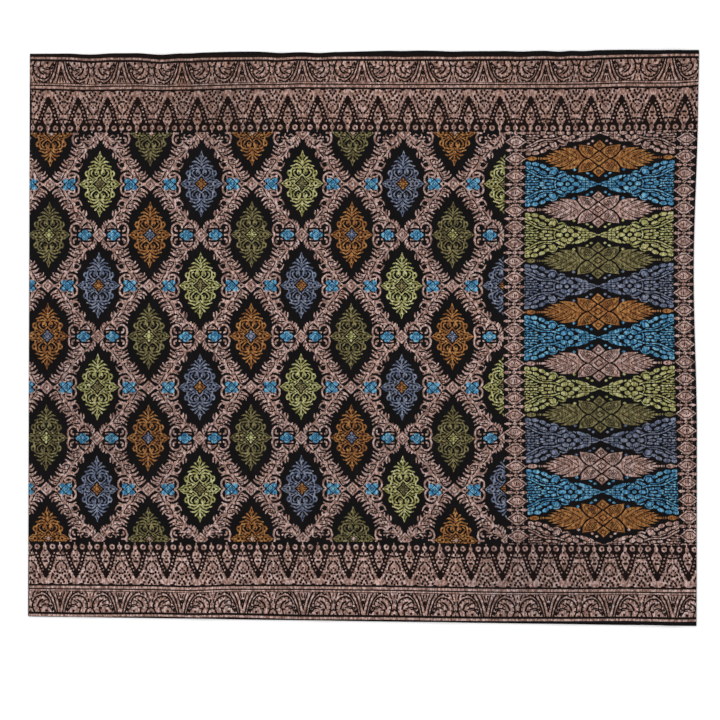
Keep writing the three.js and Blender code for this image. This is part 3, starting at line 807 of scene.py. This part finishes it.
def bow_tie(main):
    """The panel between two lozenges: a fan at the pinch, a rosette, two stems, and packed petals."""
    c = Chart(-PANEL_HALF, PANEL_HALF, -24, 24, True, True)

    def petal(x, y, rx, ry, lean=0.0):
        """An outlined petal. lean is how far it rises per square of its length."""
        along = c.x - x
        across = c.y - y - lean * along
        c.fill(GROUND, (along / (rx + 0.9)) ** 2 + (across / (ry + 0.9)) ** 2 < 1)
        c.fill(main, (along / (rx + 0.2)) ** 2 + (across / (ry + 0.2)) ** 2 < 1)

    def curl(width, *way):
        """A stem with a dark rim."""
        c.stroke(GROUND, way, width + 1.5)
        c.stroke(main, way, width)
    # fan at the pinch: x, y, half length, half width, lean
    fan = ((4.8, 0, 4.6, 0.8, 0), (6.2, 1.9, 3.6, 0.6, 0.25), (11.4, 0, 1.7, 0.9, 0),
           (11.6, 2.7, 2.4, 0.8, 0.3), (15.4, 0, 1.7, 1.2, 0),
           (15.8, 3.1, 2.2, 1.0, 0.3), (12.6, 5.2, 2.4, 0.8, 0.4), (18.8, 6.2, 5.2, 1.6, 0.3),
           (19.0, 2.6, 1.4, 0.9, 0.2))
    rosette = ((23.2, 0, 3.6, 1.8, 0), (28.0, 4.3, 2.9, 1.9, 0.2), (34.8, 4.6, 3.2, 2.0, -0.15),
               (39.4, 0, 3.3, 1.9, 0), (30.8, 7.8, 2.4, 0.9, 0.1),
               (31.6, 0, 1.8, 1.5, 0), (25.6, 8.0, 1.6, 0.6, 0.3))
    packed = ((57.2, 11.2, 3.9, 2.0, 0.12), (52.2, 15.2, 2.6, 1.3, 0.15), (56.8, 18.0, 3.0, 1.7, 0.25),
              (64.6, 20.2, 3.3, 1.7, 0.05), (72.0, 20.6, 2.8, 1.7, 0.05),
              (63.0, 15.0, 3.1, 1.4, 0.35), (70.6, 17.2, 3.4, 1.3, 0.25), (66.4, 12.2, 3.6, 1.0, 0.45),
              (72.8, 16.0, 2.0, 0.7, 0.4),
              (48.2, 3.0, 2.9, 1.1, 0.1), (54.6, 3.6, 2.6, 1.0, 0.1), (50.4, 0, 3.4, 0.8, 0),
              (57.6, 1.2, 2.6, 0.8, 0.05))
    for place in fan + rosette:
        petal(*place)
    curl(1.3, (33.0, 8.6), (33.8, 11.2), (37.0, 12.5), (40.4, 11.4))
    petal(38.8, 8.2, 5.0, 1.3, -0.42)
    curl(1.3, (41.8, 13.0), (43.4, 15.4), (47.0, 16.4), (50.6, 15.4))
    petal(46.6, 11.6, 3.5, 2.9, -0.25)
    for place in packed:
        petal(*place)
    # wavy feathers between the stems, towards the chain: each is a row of slim leaves that lean to and fro
    for y, start in ((0.0, 62.0), (2.5, 60.5), (4.9, 62.0), (7.2, 66.0), (9.4, 70.0)):
        for k in range(4):
            petal(start + 2.0 + 4.1 * k, y + 0.3, 2.3, 0.5, 0.2 if k % 2 else -0.16)
    curl(1.3, (43.8, 0), (44.6, 1.6), (43.6, 3.4))
    # stems
    curl(1.4, (39.5, 4.2), (44.0, 5.8), (50.0, 6.6), (57.0, 6.6), (63.0, 8.4), (69.0, 11.6), (76.0, 14.6))
    curl(0.9, (47.0, 8.8), (53.0, 8.2), (60.0, 10.4))
    # loose leaves in the dark band round the pinch
    c.stroke(main, [(9.6, 10.3), (12.8, 11.2)], 2.1, shape="leaf")
    c.diamond(main, 7.0, 8.2, 1.7, 1.4)
    c.diamond(main, 24.7, 14.4, 1.8, 1.6)
    return c


# ---- Whole cloth ------------------------------------------------------------------
# The charts are laid side by side as the weaver strings them up: borders, field and head panel on the front
# half of the tube, and borders and field on the back half.
# width and depth in squares; X runs from the middle of the width, and Y up from the middle of the depth
WIDTH_SQ, DEPTH_SQ = 669, 576


class Cloth(Chart):
    """The chart of one whole half of the tube."""
    def stamp(self, chart, x, y, keep=None, flip_y=False):
        """Lays a chart's floats on the cloth with the chart's origin at x, y."""
        yarn = chart.yarn[:, ::-1] if flip_y else chart.yarn
        y_low = -(chart.y0 + yarn.shape[1] / self.ends) if flip_y else chart.y0
        i0 = round((x + chart.x0 - self.x0) * self.picks)
        j0 = round((y + y_low - self.y0) * self.ends)
        a0, b0 = max(i0, 0), max(j0, 0)
        a1, b1 = min(i0 + yarn.shape[0], self.yarn.shape[0]), min(j0 + yarn.shape[1], self.yarn.shape[1])
        if a0 >= a1 or b0 >= b1:
            return
        piece = yarn[a0 - i0:a1 - i0, b0 - j0:b1 - j0]
        spot = self.yarn[a0:a1, b0:b1]
        allowed = piece > 0
        if keep is not None:
            allowed &= keep[a0:a1, b0:b1]
        spot[allowed] = piece[allowed]


# middle of the laid-flat width and depth, in squares from the top left corner of the chart paper
MIDDLE_X, MIDDLE_Y = 363.5, 338.0
UPPER_EDGE, LOWER_EDGE = 52.0, 623.0       # selvedges
FIELD_TOP, FIELD_LOW = 132.0, 542.0
FIRST_COLUMN, FIRST_ROW = 50.0, 133.0
KEPALA = 598.5
FIRST_PANEL, PANEL_STEP = 132.3, 25.7
FIRST_LINK, LINK_SHIFT = 123.3, 0.6
SCROLL_AT, SHOOT_AT = 361.8, 392.6
# from the selvedge inwards: gold line, scroll band, two lines, shoots
LINES = ((4.9, 7.1), (30.7, 31.9), (33.4, 35.8))
SCROLL_IN, SHOOTS_IN = 9.2, 37.7
PANELS = (ROSE, ORANGE, TURQUOISE, ROSE, GREEN, OLIVE, SLATE, ORANGE, TURQUOISE, ROSE, GREEN, OLIVE, SLATE,
          ROSE, TURQUOISE, ORANGE, ROSE)


def blank():
    return Cloth(-WIDTH_SQ / 2, WIDTH_SQ / 2, -DEPTH_SQ / 2, DEPTH_SQ / 2)


def lay_field(cloth, until):
    """The leafy lattice with its flowers, as far as `until` squares along the chart paper."""
    top, low = MIDDLE_Y - FIELD_TOP, MIDDLE_Y - FIELD_LOW
    field = (cloth.y < top) & (cloth.y > low) & (cloth.x < until - MIDDLE_X)
    quarter = lattice().yarn
    cell = Chart(-CELL_X, CELL_X, -CELL_Y, CELL_Y)
    cell.yarn = np.block([[quarter[::-1, ::-1], quarter[::-1]], [quarter[:, ::-1], quarter]])
    cell.x0, cell.y0 = -quarter.shape[0] / Chart.picks, -quarter.shape[1] / Chart.ends
    first_x, first_y = FIRST_COLUMN - MIDDLE_X, MIDDLE_Y - FIRST_ROW
    for i in range(-1, 7):
        for j in range(-1, 6):
            cloth.stamp(cell, first_x + i * 2 * CELL_X, first_y - CELL_Y - 0.25 - (j - 1) * 2 * CELL_Y,
                        field)
    accent = {GREEN: OLIVE, SLATE: ORANGE, ORANGE: SLATE, OLIVE: GREEN}
    charts = {main: medallion(main, accent[main]) for main in accent}
    end_charts = {main: medallion(main, ROSE) for main in (ORANGE, OLIVE)}
    for row in range(9):
        for col in range(row % 2, 14, 2):
            pair = (GREEN, SLATE) if row % 2 else (ORANGE, OLIVE)
            main = pair[(col // 2 + (row // 2) % 2) % 2]
            cloth.stamp((end_charts if row in (0, 8) else charts)[main], first_x + col * CELL_X,
                        first_y - row * CELL_Y, field)
    # the turquoise weft starts and stops one row of flowers inside the borders, where leaves take their place
    cloth.fill(GROUND, (cloth.yarn == TURQUOISE) & ((cloth.y > top - 7) | (cloth.y < low + 9.6)))
    spray = Chart(-9, 9, 0, 9)
    for width, *way in ((2.6, (8.6, 3.2), (4.4, 6.4), (-1.0, 7.8), (-6.4, 7.2)),
                        (1.9, (6.6, 6.0), (8.4, 8.6)), (1.9, (2.0, 7.6), (3.6, 9.0)),
                        (1.7, (-0.6, 5.4), (-3.4, 3.6), (-3.0, 1.4)),
                        (1.5, (4.6, 3.0), (2.4, 1.6), (0.6, 2.6))):
        spray.stroke(ROSE, way, width, taper=0.9)
    mirrored = Chart(-9, 9, 0, 9)
    mirrored.yarn = spray.yarn[::-1]
    for col in range(1, 14, 2):
        for row in (0, 8):
            cloth.stamp(spray, first_x + col * CELL_X - 14.4, first_y - row * CELL_Y, field,
                        flip_y=row == 0)
            cloth.stamp(mirrored, first_x + col * CELL_X + 14.4, first_y - row * CELL_Y, field,
                        flip_y=row == 0)


def lay_kepala(cloth):
    """The head panel: two chains, with lozenges and bow ties stacked between them."""
    inside = (cloth.y < MIDDLE_Y - FIELD_TOP + 1) & (cloth.y > MIDDLE_Y - FIELD_LOW - 1)
    stars = {main: star_lozenge(main) for main in (ORANGE, ROSE, OLIVE)}
    bows = {main: bow_tie(main) for main in (ROSE, TURQUOISE, GREEN, SLATE)}
    for k, main in enumerate(PANELS):
        cloth.stamp(stars[main] if k % 2 else bows[main], KEPALA - MIDDLE_X,
                    MIDDLE_Y - FIRST_PANEL - PANEL_STEP * k, inside)
    link = chain()
    for side in (-1, 1):
        for k in range(25):
            cloth.stamp(link, KEPALA - MIDDLE_X + side * CHAIN_CENTRE,
                        MIDDLE_Y - FIRST_LINK + LINK_SHIFT * side - CHAIN_PITCH * k, inside)


def lay_borders(cloth):
    """Lines, scrolls and shoots along both selvedges."""
    scroll, shoot = scroll_band(), shoots()
    for flip, edge in ((True, MIDDLE_Y - UPPER_EDGE), (False, MIDDLE_Y - LOWER_EDGE)):
        sign = -1 if flip else 1
        inwards = sign * (cloth.y - edge)
        for near, far in LINES:
            cloth.fill(ROSE, (inwards > near) & (inwards < far))
        for k in range(-6, 7):
            cloth.stamp(scroll, SCROLL_AT - MIDDLE_X + SCROLL_PITCH * k, edge + sign * SCROLL_IN,
                        flip_y=flip)
        for k in range(-13, 12):
            cloth.stamp(shoot, SHOOT_AT - MIDDLE_X + SHOOT_PITCH * k, edge + sign * SHOOTS_IN, flip_y=flip)


def front():
    """The half of the tube that lies on top."""
    cloth = blank()
    lay_field(cloth, KEPALA - CHAIN_CENTRE - CHAIN_HALF)
    lay_kepala(cloth)
    lay_borders(cloth)
    return cloth


def back():
    """The other half of the tube: the field runs on over its whole width."""
    cloth = blank()
    lay_field(cloth, MIDDLE_X + WIDTH_SQ)
    lay_borders(cloth)
    return cloth


# ---- Floating wefts -------------------------------------------------------------
# Extra wefts of metal-wrapped and coloured yarn that lie over the ground cloth where the chart asks for them.
# Each run of a pick is a strip of its own, as wide as the yarn, carried by the cloth that it lies on.
FLOAT_LIFT = 0.22        # over the front layer, in millimetres
LONGEST_RUN = 12.0       # a float longer than this is tied down
EDGE_CLEAR = 0.2         # from a fold, in millimetres
SELVEDGE_CLEAR = 0.0004  # from a selvedge, as a share of the depth
UNDER_LIFT = 0.06        # under the back layer
YARN_HALF = 0.47         # half a yarn's width, as a share of the step between picks
YARN_NAMES = {ROSE: "rose_gold", ORANGE: "orange", OLIVE: "olive", GREEN: "green", SLATE: "slate_blue",
              TURQUOISE: "turquoise"}

# How far the weave's picture is drawn down, in squares. Each row has its level, and its columns stand at
# DOWN_AT, from the left fold to the right one. These shifts are a measuring program's, rounded.
DOWN_AT = (-330, -282, -210, -174, -138, -66, 18, 108, 136, 222, 258, 306, 330)
DRAWN_DOWN = (
    (-280, (-2.4, -1.6, -1.8, -1.0, -1.2, 0.8, 1.4, 2.7, 2.9, 2.8, 2.6, 3.6, 3.3)),
    (-252, (-1.9, -1.6, -0.9, 0.2, -1.2, -1.2, -0.3, 1.3, 1.8, 2.0, 1.6, 2.2, 2.2)),
    (-204, (-0.8, -0.7, -0.3, 0, -0.5, -0.4, -0.3, 1.7, 1.0, 1.4, 1.3, 2.1, 2.1)),
    (-177, (0.4, 0.6, 1.2, 1.3, 0.7, 0.2, 0.6, 2.3, 0.3, 0, 0, -0.2, -0.2)),
    (-112, (0.4, 0.6, 0.6, 0.6, 0.2, -0.1, 0.3, 1.5, -0.2, -0.6, -0.4, -0.4, -0.4)),
    (27, (0, 0, 0.2, 0.4, 0, 0, 0.6, 0.5, 0.2, -0.5, -1.0, -1.4, -1.4)),
    (130, (0.4, 0.5, 0.4, 0.4, 0, -0.2, 0.2, 0.1, 0.6, 0.3, 0, -0.8, -0.8)),
    (206, (0.9, 0.9, 0.6, 0.5, 0.2, -0.3, 0.1, -0.2, 0.8, 0.9, 0.4, -0.8, -0.8)),
    (253, (0.8, 2.0, 1.4, 1.8, 0.6, -0.6, 0, 0, 0.2, -0.3, -1.6, -1.2, -3.2)),
    (280, (0.2, 0.8, 1.2, 1.4, 0.8, 0, 0, 0, 0, -1.0, -2.0, -2.8, -2.8)),
)

# How far it is drawn across, to the right: the cloth spreads wider at its foot than it was set on the loom.
# Columns stand at ACROSS_AT. These too are a measuring program's, rounded.
ACROSS_AT = (-303, -243, -123, -3, 106, 150, 236, 286, 322)
DRAWN_ACROSS = (
    (-268, (1, 0.5, 2.5, 3, 5, 6.5, 8, 10.5, 12)),
    (-229, (1, 1, 2, 2.5, 4, 6, 7.5, 9.5, 11)),
    (-187, (-1.5, -2.5, 0.5, 1.5, 3, 5, 6, 7, 7)),
    (-132, (-3.5, -3, -0.5, 0, 0.5, 3, 4, 5, 5)),
    (-52, (-3, -2.5, -0.5, -1.5, -0.5, 1, 1.5, 2.5, 3)),
    (48, (-2, -2, -0.5, -1.5, -1.5, 1, 0, 0.5, 1)),
    (143, (-0.5, -1, 0, -1, -0.5, 1.5, 0, 0, 1)),
    (183, (0, -1.5, 0, -0.5, 0.5, 2, 0.5, 1, 2)),
    (230, (2.5, 1, 0.5, 0, 0.5, 2, 2, 3.5, 6)),
    (268, (0, 0, 0, -0.5, 0, 1.5, 2.5, 4.5, 6.5)),
)


def looked_up(table, columns, x, y):
    """The table's value at x, y, between its levels and columns."""
    levels = np.array([level for level, row in table])
    values = np.array([row for level, row in table])
    place = np.clip(np.searchsorted(levels, y) - 1, 0, len(levels) - 2)
    share = np.clip((y - levels[place]) / (levels[place + 1] - levels[place]), 0, 1)
    column = np.clip(np.interp(x, columns, np.arange(len(columns))), 0, len(columns) - 1.001)
    i = column.astype(int)
    t = column - i
    low = values[place, i] * (1 - t) + values[place, i + 1] * t
    high = values[place + 1, i] * (1 - t) + values[place + 1, i + 1] * t
    return low * (1 - share) + high * share


def lay(x_sq, y_sq, front=True):
    """Where a point of the chart lies, in millimetres, and whether the cloth reaches there."""
    y = y_sq * SQUARE
    row = np.clip((y - BOTTOM_LEFT[1]) / (TOP_LEFT[1] - BOTTOM_LEFT[1]), 0, 1)
    left, right = left_fold(row), right_fold(row)
    across = x_sq + looked_up(DRAWN_ACROSS, ACROSS_AT, x_sq, y_sq)
    x = left + (right_line(row) - left) * (across / WIDTH_SQ + 0.5)
    y = y - SQUARE * looked_up(DRAWN_DOWN, DOWN_AT, x_sq, y_sq)
    for at, half, height, drawn, reach in TOP_PUCKERS:
        y = y - drawn * hump(x - at, half) * hump(top_edge(x) - y, reach)
    row = (y - bottom_edge(x)) / (top_edge(x) - bottom_edge(x))
    inset = np.minimum(x - left, right - x)
    inside = (row > SELVEDGE_CLEAR) & (row < 1 - SELVEDGE_CLEAR) & (inset > EDGE_CLEAR)
    if not front:
        return np.stack([x, y, np.full(x.shape, UNDERSIDE - UNDER_LIFT)], -1), inside
    turn = FOLD_RADIUS + CLOTH / 2
    drop = turn - np.sqrt(np.maximum(turn ** 2 - np.maximum(turn - inset, 0) ** 2, 0))
    z = front_height(x, y, row) + CLOTH / 2 + FLOAT_LIFT - drop
    return np.stack([x, y, z], -1), inside


def strips_mesh(name, corners, material, flip):
    """Strips from their four corners, with a flat map of the cloth to bake on."""
    count = len(corners)
    flat = corners.reshape(-1, 3) * MM
    order = np.arange(count * 4, dtype=np.int32).reshape(-1, 4)
    order = (order[:, ::-1] if flip else order).ravel()
    mesh = bpy.data.meshes.new(name)
    mesh.vertices.add(count * 4)
    mesh.vertices.foreach_set("co", flat.astype(np.float32).ravel())
    mesh.loops.add(count * 4)
    mesh.loops.foreach_set("vertex_index", order)
    mesh.polygons.add(count)
    mesh.polygons.foreach_set("loop_start", np.arange(0, count * 4, 4, dtype=np.int32))
    mesh.update(calc_edges=True)
    low, high = flat.min(0), flat.max(0)
    plan = (flat[order][:, :2] - low[:2]) / (high[:2] - low[:2])
    mesh.uv_layers.new(name="OFBake").data.foreach_set("uv", plan.astype(np.float32).ravel())
    mesh.materials.append(material)
    obj = bpy.data.objects.new(name, mesh)
    bpy.context.collection.objects.link(obj)
    return obj


def runs_of(cloth, yarn, keep):
    """The runs of one yarn: pick number, first and last end. Long runs are tied down in equal parts."""
    on = np.zeros((cloth.yarn.shape[0], cloth.yarn.shape[1] + 2), np.int8)
    on[:, 1:-1] = (cloth.yarn == yarn) & keep
    change = np.diff(on, axis=1)
    pick, first = np.nonzero(change == 1)
    last = np.nonzero(change == -1)[1]
    longest = round(LONGEST_RUN / SQUARE * cloth.ends)
    parts = np.maximum(1, np.ceil((last - first) / longest).astype(int))
    which = np.repeat(np.arange(len(pick)), parts)
    number = np.arange(len(which)) - np.repeat(np.cumsum(parts) - parts, parts)
    share = (last - first)[which] / parts[which]
    return pick[which], first[which] + share * number, first[which] + share * (number + 1)


def floats(name, cloth, yarn, keep, material, front=True):
    """The strips of one yarn in one region, or None where it has none."""
    pick, low, high = runs_of(cloth, yarn, keep)
    if not len(pick):
        return None
    x = cloth.x0 + (pick + 0.5) / cloth.picks
    half = YARN_HALF / cloth.picks
    y0, y1 = cloth.y0 + low / cloth.ends, cloth.y0 + high / cloth.ends
    xs = np.stack([x - half, x + half, x + half, x - half], 1)
    ys = np.stack([y0, y0, y1, y1], 1)
    corners, inside = lay(xs, ys, front)
    return strips_mesh(name, corners[inside.all(1)], material, not front)


# broad patches of painted sheen and shade, partly uneven dye, where the yarn is darker or brighter: x, y,
# radius, change
PAINTED_SHEEN_SPOTS = (
    (-395, 395, 190, -0.10), (-250, 380, 120, -0.12), (-215, 330, 90, -0.14), (60, 405, 120, 0.10),
    (100, 345, 70, -0.08), (300, 385, 90, -0.07), (430, 295, 60, -0.12), (-400, -70, 170, -0.12),
    (-330, -160, 120, -0.08), (-430, -380, 120, 0.08), (-260, -360, 150, 0.12), (40, -370, 110, 0.10),
    (250, -350, 110, -0.26), (370, -360, 60, -0.14), (350, -80, 110, -0.12), (380, -190, 110, -0.14),
    (352, 70, 60, 0.10), (270, 175, 60, -0.10), (-20, 130, 120, 0.05), (120, 20, 100, 0.05),
    (-60, -150, 130, -0.05), (-330, 0, 110, 0.09), (-150, 0, 110, 0.08), (30, 0, 110, 0.09),
    (180, 0, 90, 0.10),
)
SHEEN_SPOT_STRENGTH = 1.3
# the upper border's yarn is painted browner and duller, as painted shade: from what level, how much browner,
# how much duller
BROWNER_FROM, BROWNER, DULLER = 308.0, 0.08, 0.12


def painted_sheen_and_dye(tree, position, up):
    """How bright the yarn is, in red, green and blue: painted sheen and shade patches, a painted-shade upper
    border, and uneven dye.
    """
    total = 1.0
    # painted sheen and shade: soft round patches that darken or brighten every yarn's colour
    for x, y, radius, change in PAINTED_SHEEN_SPOTS:
        away = tree.nodes.new("ShaderNodeVectorMath")
        away.operation = "DISTANCE"
        tree.links.new(position, away.inputs[0])
        away.inputs[1].default_value = (x * MM, y * MM, 0)
        away = math(tree, "MULTIPLY", away.outputs["Value"], 1 / (radius * MM), clamp=True)
        near = math(tree, "SUBTRACT", 1.0, away)
        near = math(tree, "SMOOTH_MIN", near, 0.75, 0.5)
        total = math(tree, "ADD", total, math(tree, "MULTIPLY", near, change * SHEEN_SPOT_STRENGTH))
    # painted shade: above that level the upper border's yarn is made duller and browner
    upper = math(tree, "GREATER_THAN", up, BROWNER_FROM * MM)
    browner = math(tree, "MULTIPLY", upper, BROWNER)
    total = math(tree, "SUBTRACT", total, math(tree, "MULTIPLY", upper, DULLER))
    # uneven dye: streaks a few picks wide along the weft, and finer ones
    streaks = noise(tree, 14, 3, (1, 0.35, 1), 0.6)
    streaks = math(tree, "MULTIPLY", math(tree, "SUBTRACT", streaks, 0.5), 0.5)
    warm = math(tree, "ADD", browner, streaks)
    result = tree.nodes.new("ShaderNodeCombineColor")
    for socket, share in zip(result.inputs, (-0.15, 0.45, 1.0)):
        tree.links.new(math(tree, "SUBTRACT", total, math(tree, "MULTIPLY", warm, share)), socket)
    return result.outputs[0]


TIE_STEP = 3.0           # from one tie to the next along a float, in millimetres


def yarn_material(name, dark, main, light, metal, roughness):
    """Twisted yarn in rounded picks, tied down every few millimetres, with uneven dye, painted sheen and
    shade, and painted glints.
    """
    material, tree, shader = new_material(name + "_yarn", roughness)
    pick = threads(tree, SQUARE / Chart.picks, 0)
    coord = tree.nodes.new("ShaderNodeTexCoord")
    split = tree.nodes.new("ShaderNodeSeparateXYZ")
    tree.links.new(coord.outputs["Object"], split.inputs[0])
    # ties step on from pick to pick, in a twill of four
    along = math(tree, "MULTIPLY", split.outputs[1], 2 * pi / MM / TIE_STEP)
    across = math(tree, "MULTIPLY", split.outputs[0], 2 * pi / MM / (4 * SQUARE / Chart.picks))
    wave = math(tree, "COSINE", math(tree, "ADD", along, across))
    tied = math(tree, "POWER", math(tree, "MULTIPLY_ADD", wave, 0.5, 0.5), 6.0)
    # painted glints: noise that moves the colour towards the light end, a painted highlight, and towards the
    # dark end between; the slubs are the yarn's own
    painted_glints = noise(tree, 3.4, 2, (1, 0.6, 1), 0.7)
    slubs = noise(tree, 1.3, 2, (1, 0.1, 1))
    shade = mix(tree, "FLOAT", painted_glints, slubs, 0.35)
    colour = ramp(tree, shade, ((0.39, dark), (0.5, main), (0.6, light)))
    colour = mix(tree, "RGBA", colour, (*[c * 0.35 for c in main], 1), math(tree, "MULTIPLY", tied, 0.5))
    # painted sheen and shade, with uneven dye, multiply the yarn's colour
    sheen_dye_factor = painted_sheen_and_dye(tree, coord.outputs["Object"], split.outputs[1])
    colour = mix(tree, "RGBA", colour, sheen_dye_factor, 1.0, "MULTIPLY")
    tree.links.new(colour, shader.inputs["Base Color"])
    shader.inputs["Metallic"].default_value = metal
    shader.inputs["Specular IOR Level"].default_value = 0.25
    height = math(tree, "SUBTRACT", math(tree, "MULTIPLY", pick, 0.5), math(tree, "MULTIPLY", tied, 0.8))
    bump(tree, shader, height, 0.12, 0.6)
    return material


# each yarn: dark, main and light colour, between which painted glints and the yarn's own slubs move it, then
# metal and roughness
yarns = {
    ROSE: yarn_material("rose_gold", srgb(95, 65, 56), srgb(147, 116, 106), srgb(207, 178, 171), 0.25, 0.5),
    ORANGE: yarn_material("orange", srgb(88, 42, 4), srgb(133, 81, 29), srgb(176, 127, 70), 0.1, 0.55),
    OLIVE: yarn_material("olive", srgb(54, 46, 14), srgb(94, 86, 46), srgb(140, 130, 88), 0.1, 0.55),
    GREEN: yarn_material("green", srgb(96, 94, 36), srgb(147, 144, 85), srgb(196, 192, 144), 0.1, 0.55),
    SLATE: yarn_material("slate_blue", srgb(47, 55, 78), srgb(86, 95, 117), srgb(138, 143, 160), 0.1, 0.55),
    TURQUOISE: yarn_material("turquoise", srgb(6, 68, 106), srgb(50, 118, 156), srgb(126, 180, 202), 0.1,
                             0.55),
}

face, behind = front(), back()
CHAIN_SPLIT = 9.5        # the body's pieces and the head panel's part here, beside the chain's middle
kepala_edge = KEPALA - MIDDLE_X - CHAIN_CENTRE - CHAIN_SPLIT
upper, lower = face.y > MIDDLE_Y - FIELD_TOP + 1, face.y < MIDDLE_Y - FIELD_LOW - 1
middle = ~(upper | lower)
regions = {"upper_border": (face, upper), "lower_border": (face, lower),
           "body": (face, middle & (face.x < kepala_edge)),
           "kepala": (face, middle & (face.x >= kepala_edge)), "back_upper": (behind, face.y > 0),
           "back_lower": (behind, face.y <= 0)}
for region, (cloth, keep) in regions.items():
    for yarn, material in yarns.items():
        obj = floats(f"{region}_{YARN_NAMES[yarn]}", cloth, yarn, keep, material, cloth is face)
        if obj:
            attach(obj, "root")

# ---- Lap seam --------------------------------------------------------------------
# The tube's two ends lap 12 mm on the back and are held by two rows of machine stitches in black thread.
STITCH, STITCH_STEP, THREAD = 2.4, 3.2, 0.35
STITCH_ROWS = (2.5, 9.5)       # from the lap's edge
SEAM_FOOT, SEAM_ENDS = 8, 12   # where the first stitch lies above the corner, and what both ends leave free
STRAY_ALONG, STRAY_ACROSS = 0.15, 0.1


def seam_stitches():
    """Two rows of stitches, each a small bar that stands under the lap."""
    depth = TOP_RIGHT[1] - BOTTOM_RIGHT[1]
    count = int((depth - SEAM_ENDS) / STITCH_STEP)
    rng = np.random.default_rng(7)
    corners = []
    for inset in STITCH_ROWS:
        y = BOTTOM_RIGHT[1] + SEAM_FOOT + STITCH_STEP * np.arange(count)
        y = y + rng.uniform(-STRAY_ALONG, STRAY_ALONG, count)
        row = (y - BOTTOM_RIGHT[1]) / depth
        x = right_line(row) - LAP_FROM_FOLD + inset + rng.uniform(-STRAY_ACROSS, STRAY_ACROSS, count)
        for sx, sy in ((-1, -1), (1, -1), (1, 1), (-1, 1)):
            corners.append(np.stack([x + sx * THREAD / 2, y + sy * STITCH / 2], -1))
    plan = np.concatenate([np.stack(corners[:4], 1), np.stack(corners[4:], 1)])
    n = len(plan)
    low = np.concatenate([plan, np.full((n, 4, 1), 0.01)], -1)
    high = np.concatenate([plan, np.full((n, 4, 1), UNDERSIDE + 0.05)], -1)
    box = np.concatenate([low, high], 1).reshape(-1, 3) * MM
    faces = np.array([(3, 2, 1, 0), (4, 5, 6, 7), (0, 1, 5, 4), (1, 2, 6, 5), (2, 3, 7, 6), (3, 0, 4, 7)])
    mesh = bpy.data.meshes.new("seam_stitches")
    mesh.from_pydata(box.tolist(), [], (np.arange(n)[:, None, None] * 8 + faces).reshape(-1, 4).tolist())
    obj = bpy.data.objects.new("seam_stitches", mesh)
    bpy.context.collection.objects.link(obj)
    return obj


thread, thread_tree, thread_shader = new_material("black_thread", 0.6)
thread_shade = noise(thread_tree, 0.6, 2)
thread_colour = ramp(thread_tree, thread_shade, ((0.3, srgb(14, 14, 16)), (0.7, srgb(34, 33, 36))))
thread_tree.links.new(thread_colour, thread_shader.inputs["Base Color"])
bump(thread_tree, thread_shader, thread_shade, 0.05, 0.5)
stitches = seam_stitches()
stitches.data.materials.append(thread)
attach(stitches, "root")

# ---- Floor, light and camera ------------------------------------------------------
# A plain white table under two soft lamps, seen from straight above.
FLOOR_SIZE = 12
bpy.ops.mesh.primitive_plane_add(size=FLOOR_SIZE, location=(0, 0, 0))
floor = bpy.context.object
floor.name = "floor"
paper, _, paper_shader = new_material("floor_white", 0.9)
paper_shader.inputs["Base Color"].default_value = (0.93, 0.92, 0.925, 1)
paper_shader.inputs["Specular IOR Level"].default_value = 0.1
floor.data.materials.append(paper)

world = bpy.data.worlds.new("studio")
world.use_nodes = True
world.node_tree.nodes["Background"].inputs["Color"].default_value = (1, 0.995, 0.995, 1)
world.node_tree.nodes["Background"].inputs["Strength"].default_value = 0.85
bpy.context.scene.world = world
# lamps: name, place, size, watts
LAMPS = (("key", (-1.6, 1.2, 2.6), 2.2, 38), ("fill", (1.8, -0.6, 2.4), 2.6, 16))
for light_name, place, size, power in LAMPS:
    lamp = bpy.data.lights.new(light_name, "AREA")
    lamp.size, lamp.energy = size, power
    light = bpy.data.objects.new(light_name, lamp)
    light.location = place
    light.rotation_euler = (-Vector(place)).to_track_quat("-Z", "Y").to_euler()
    bpy.context.collection.objects.link(light)
bpy.context.scene.view_settings.view_transform = "Standard"

# the camera's place, and how much of the table its frame takes in
CAMERA_PLACE = (-0.0052, -0.0329, 3.4)
FRAME_WIDTH = 0.72 * SQUARE
SENSOR = 36
lens = bpy.data.cameras.new("camera")
lens.sensor_width = SENSOR
lens.lens = SENSOR * CAMERA_PLACE[2] / FRAME_WIDTH
camera = bpy.data.objects.new("camera", lens)
camera.location = CAMERA_PLACE
bpy.context.collection.objects.link(camera)
bpy.context.scene.camera = camera
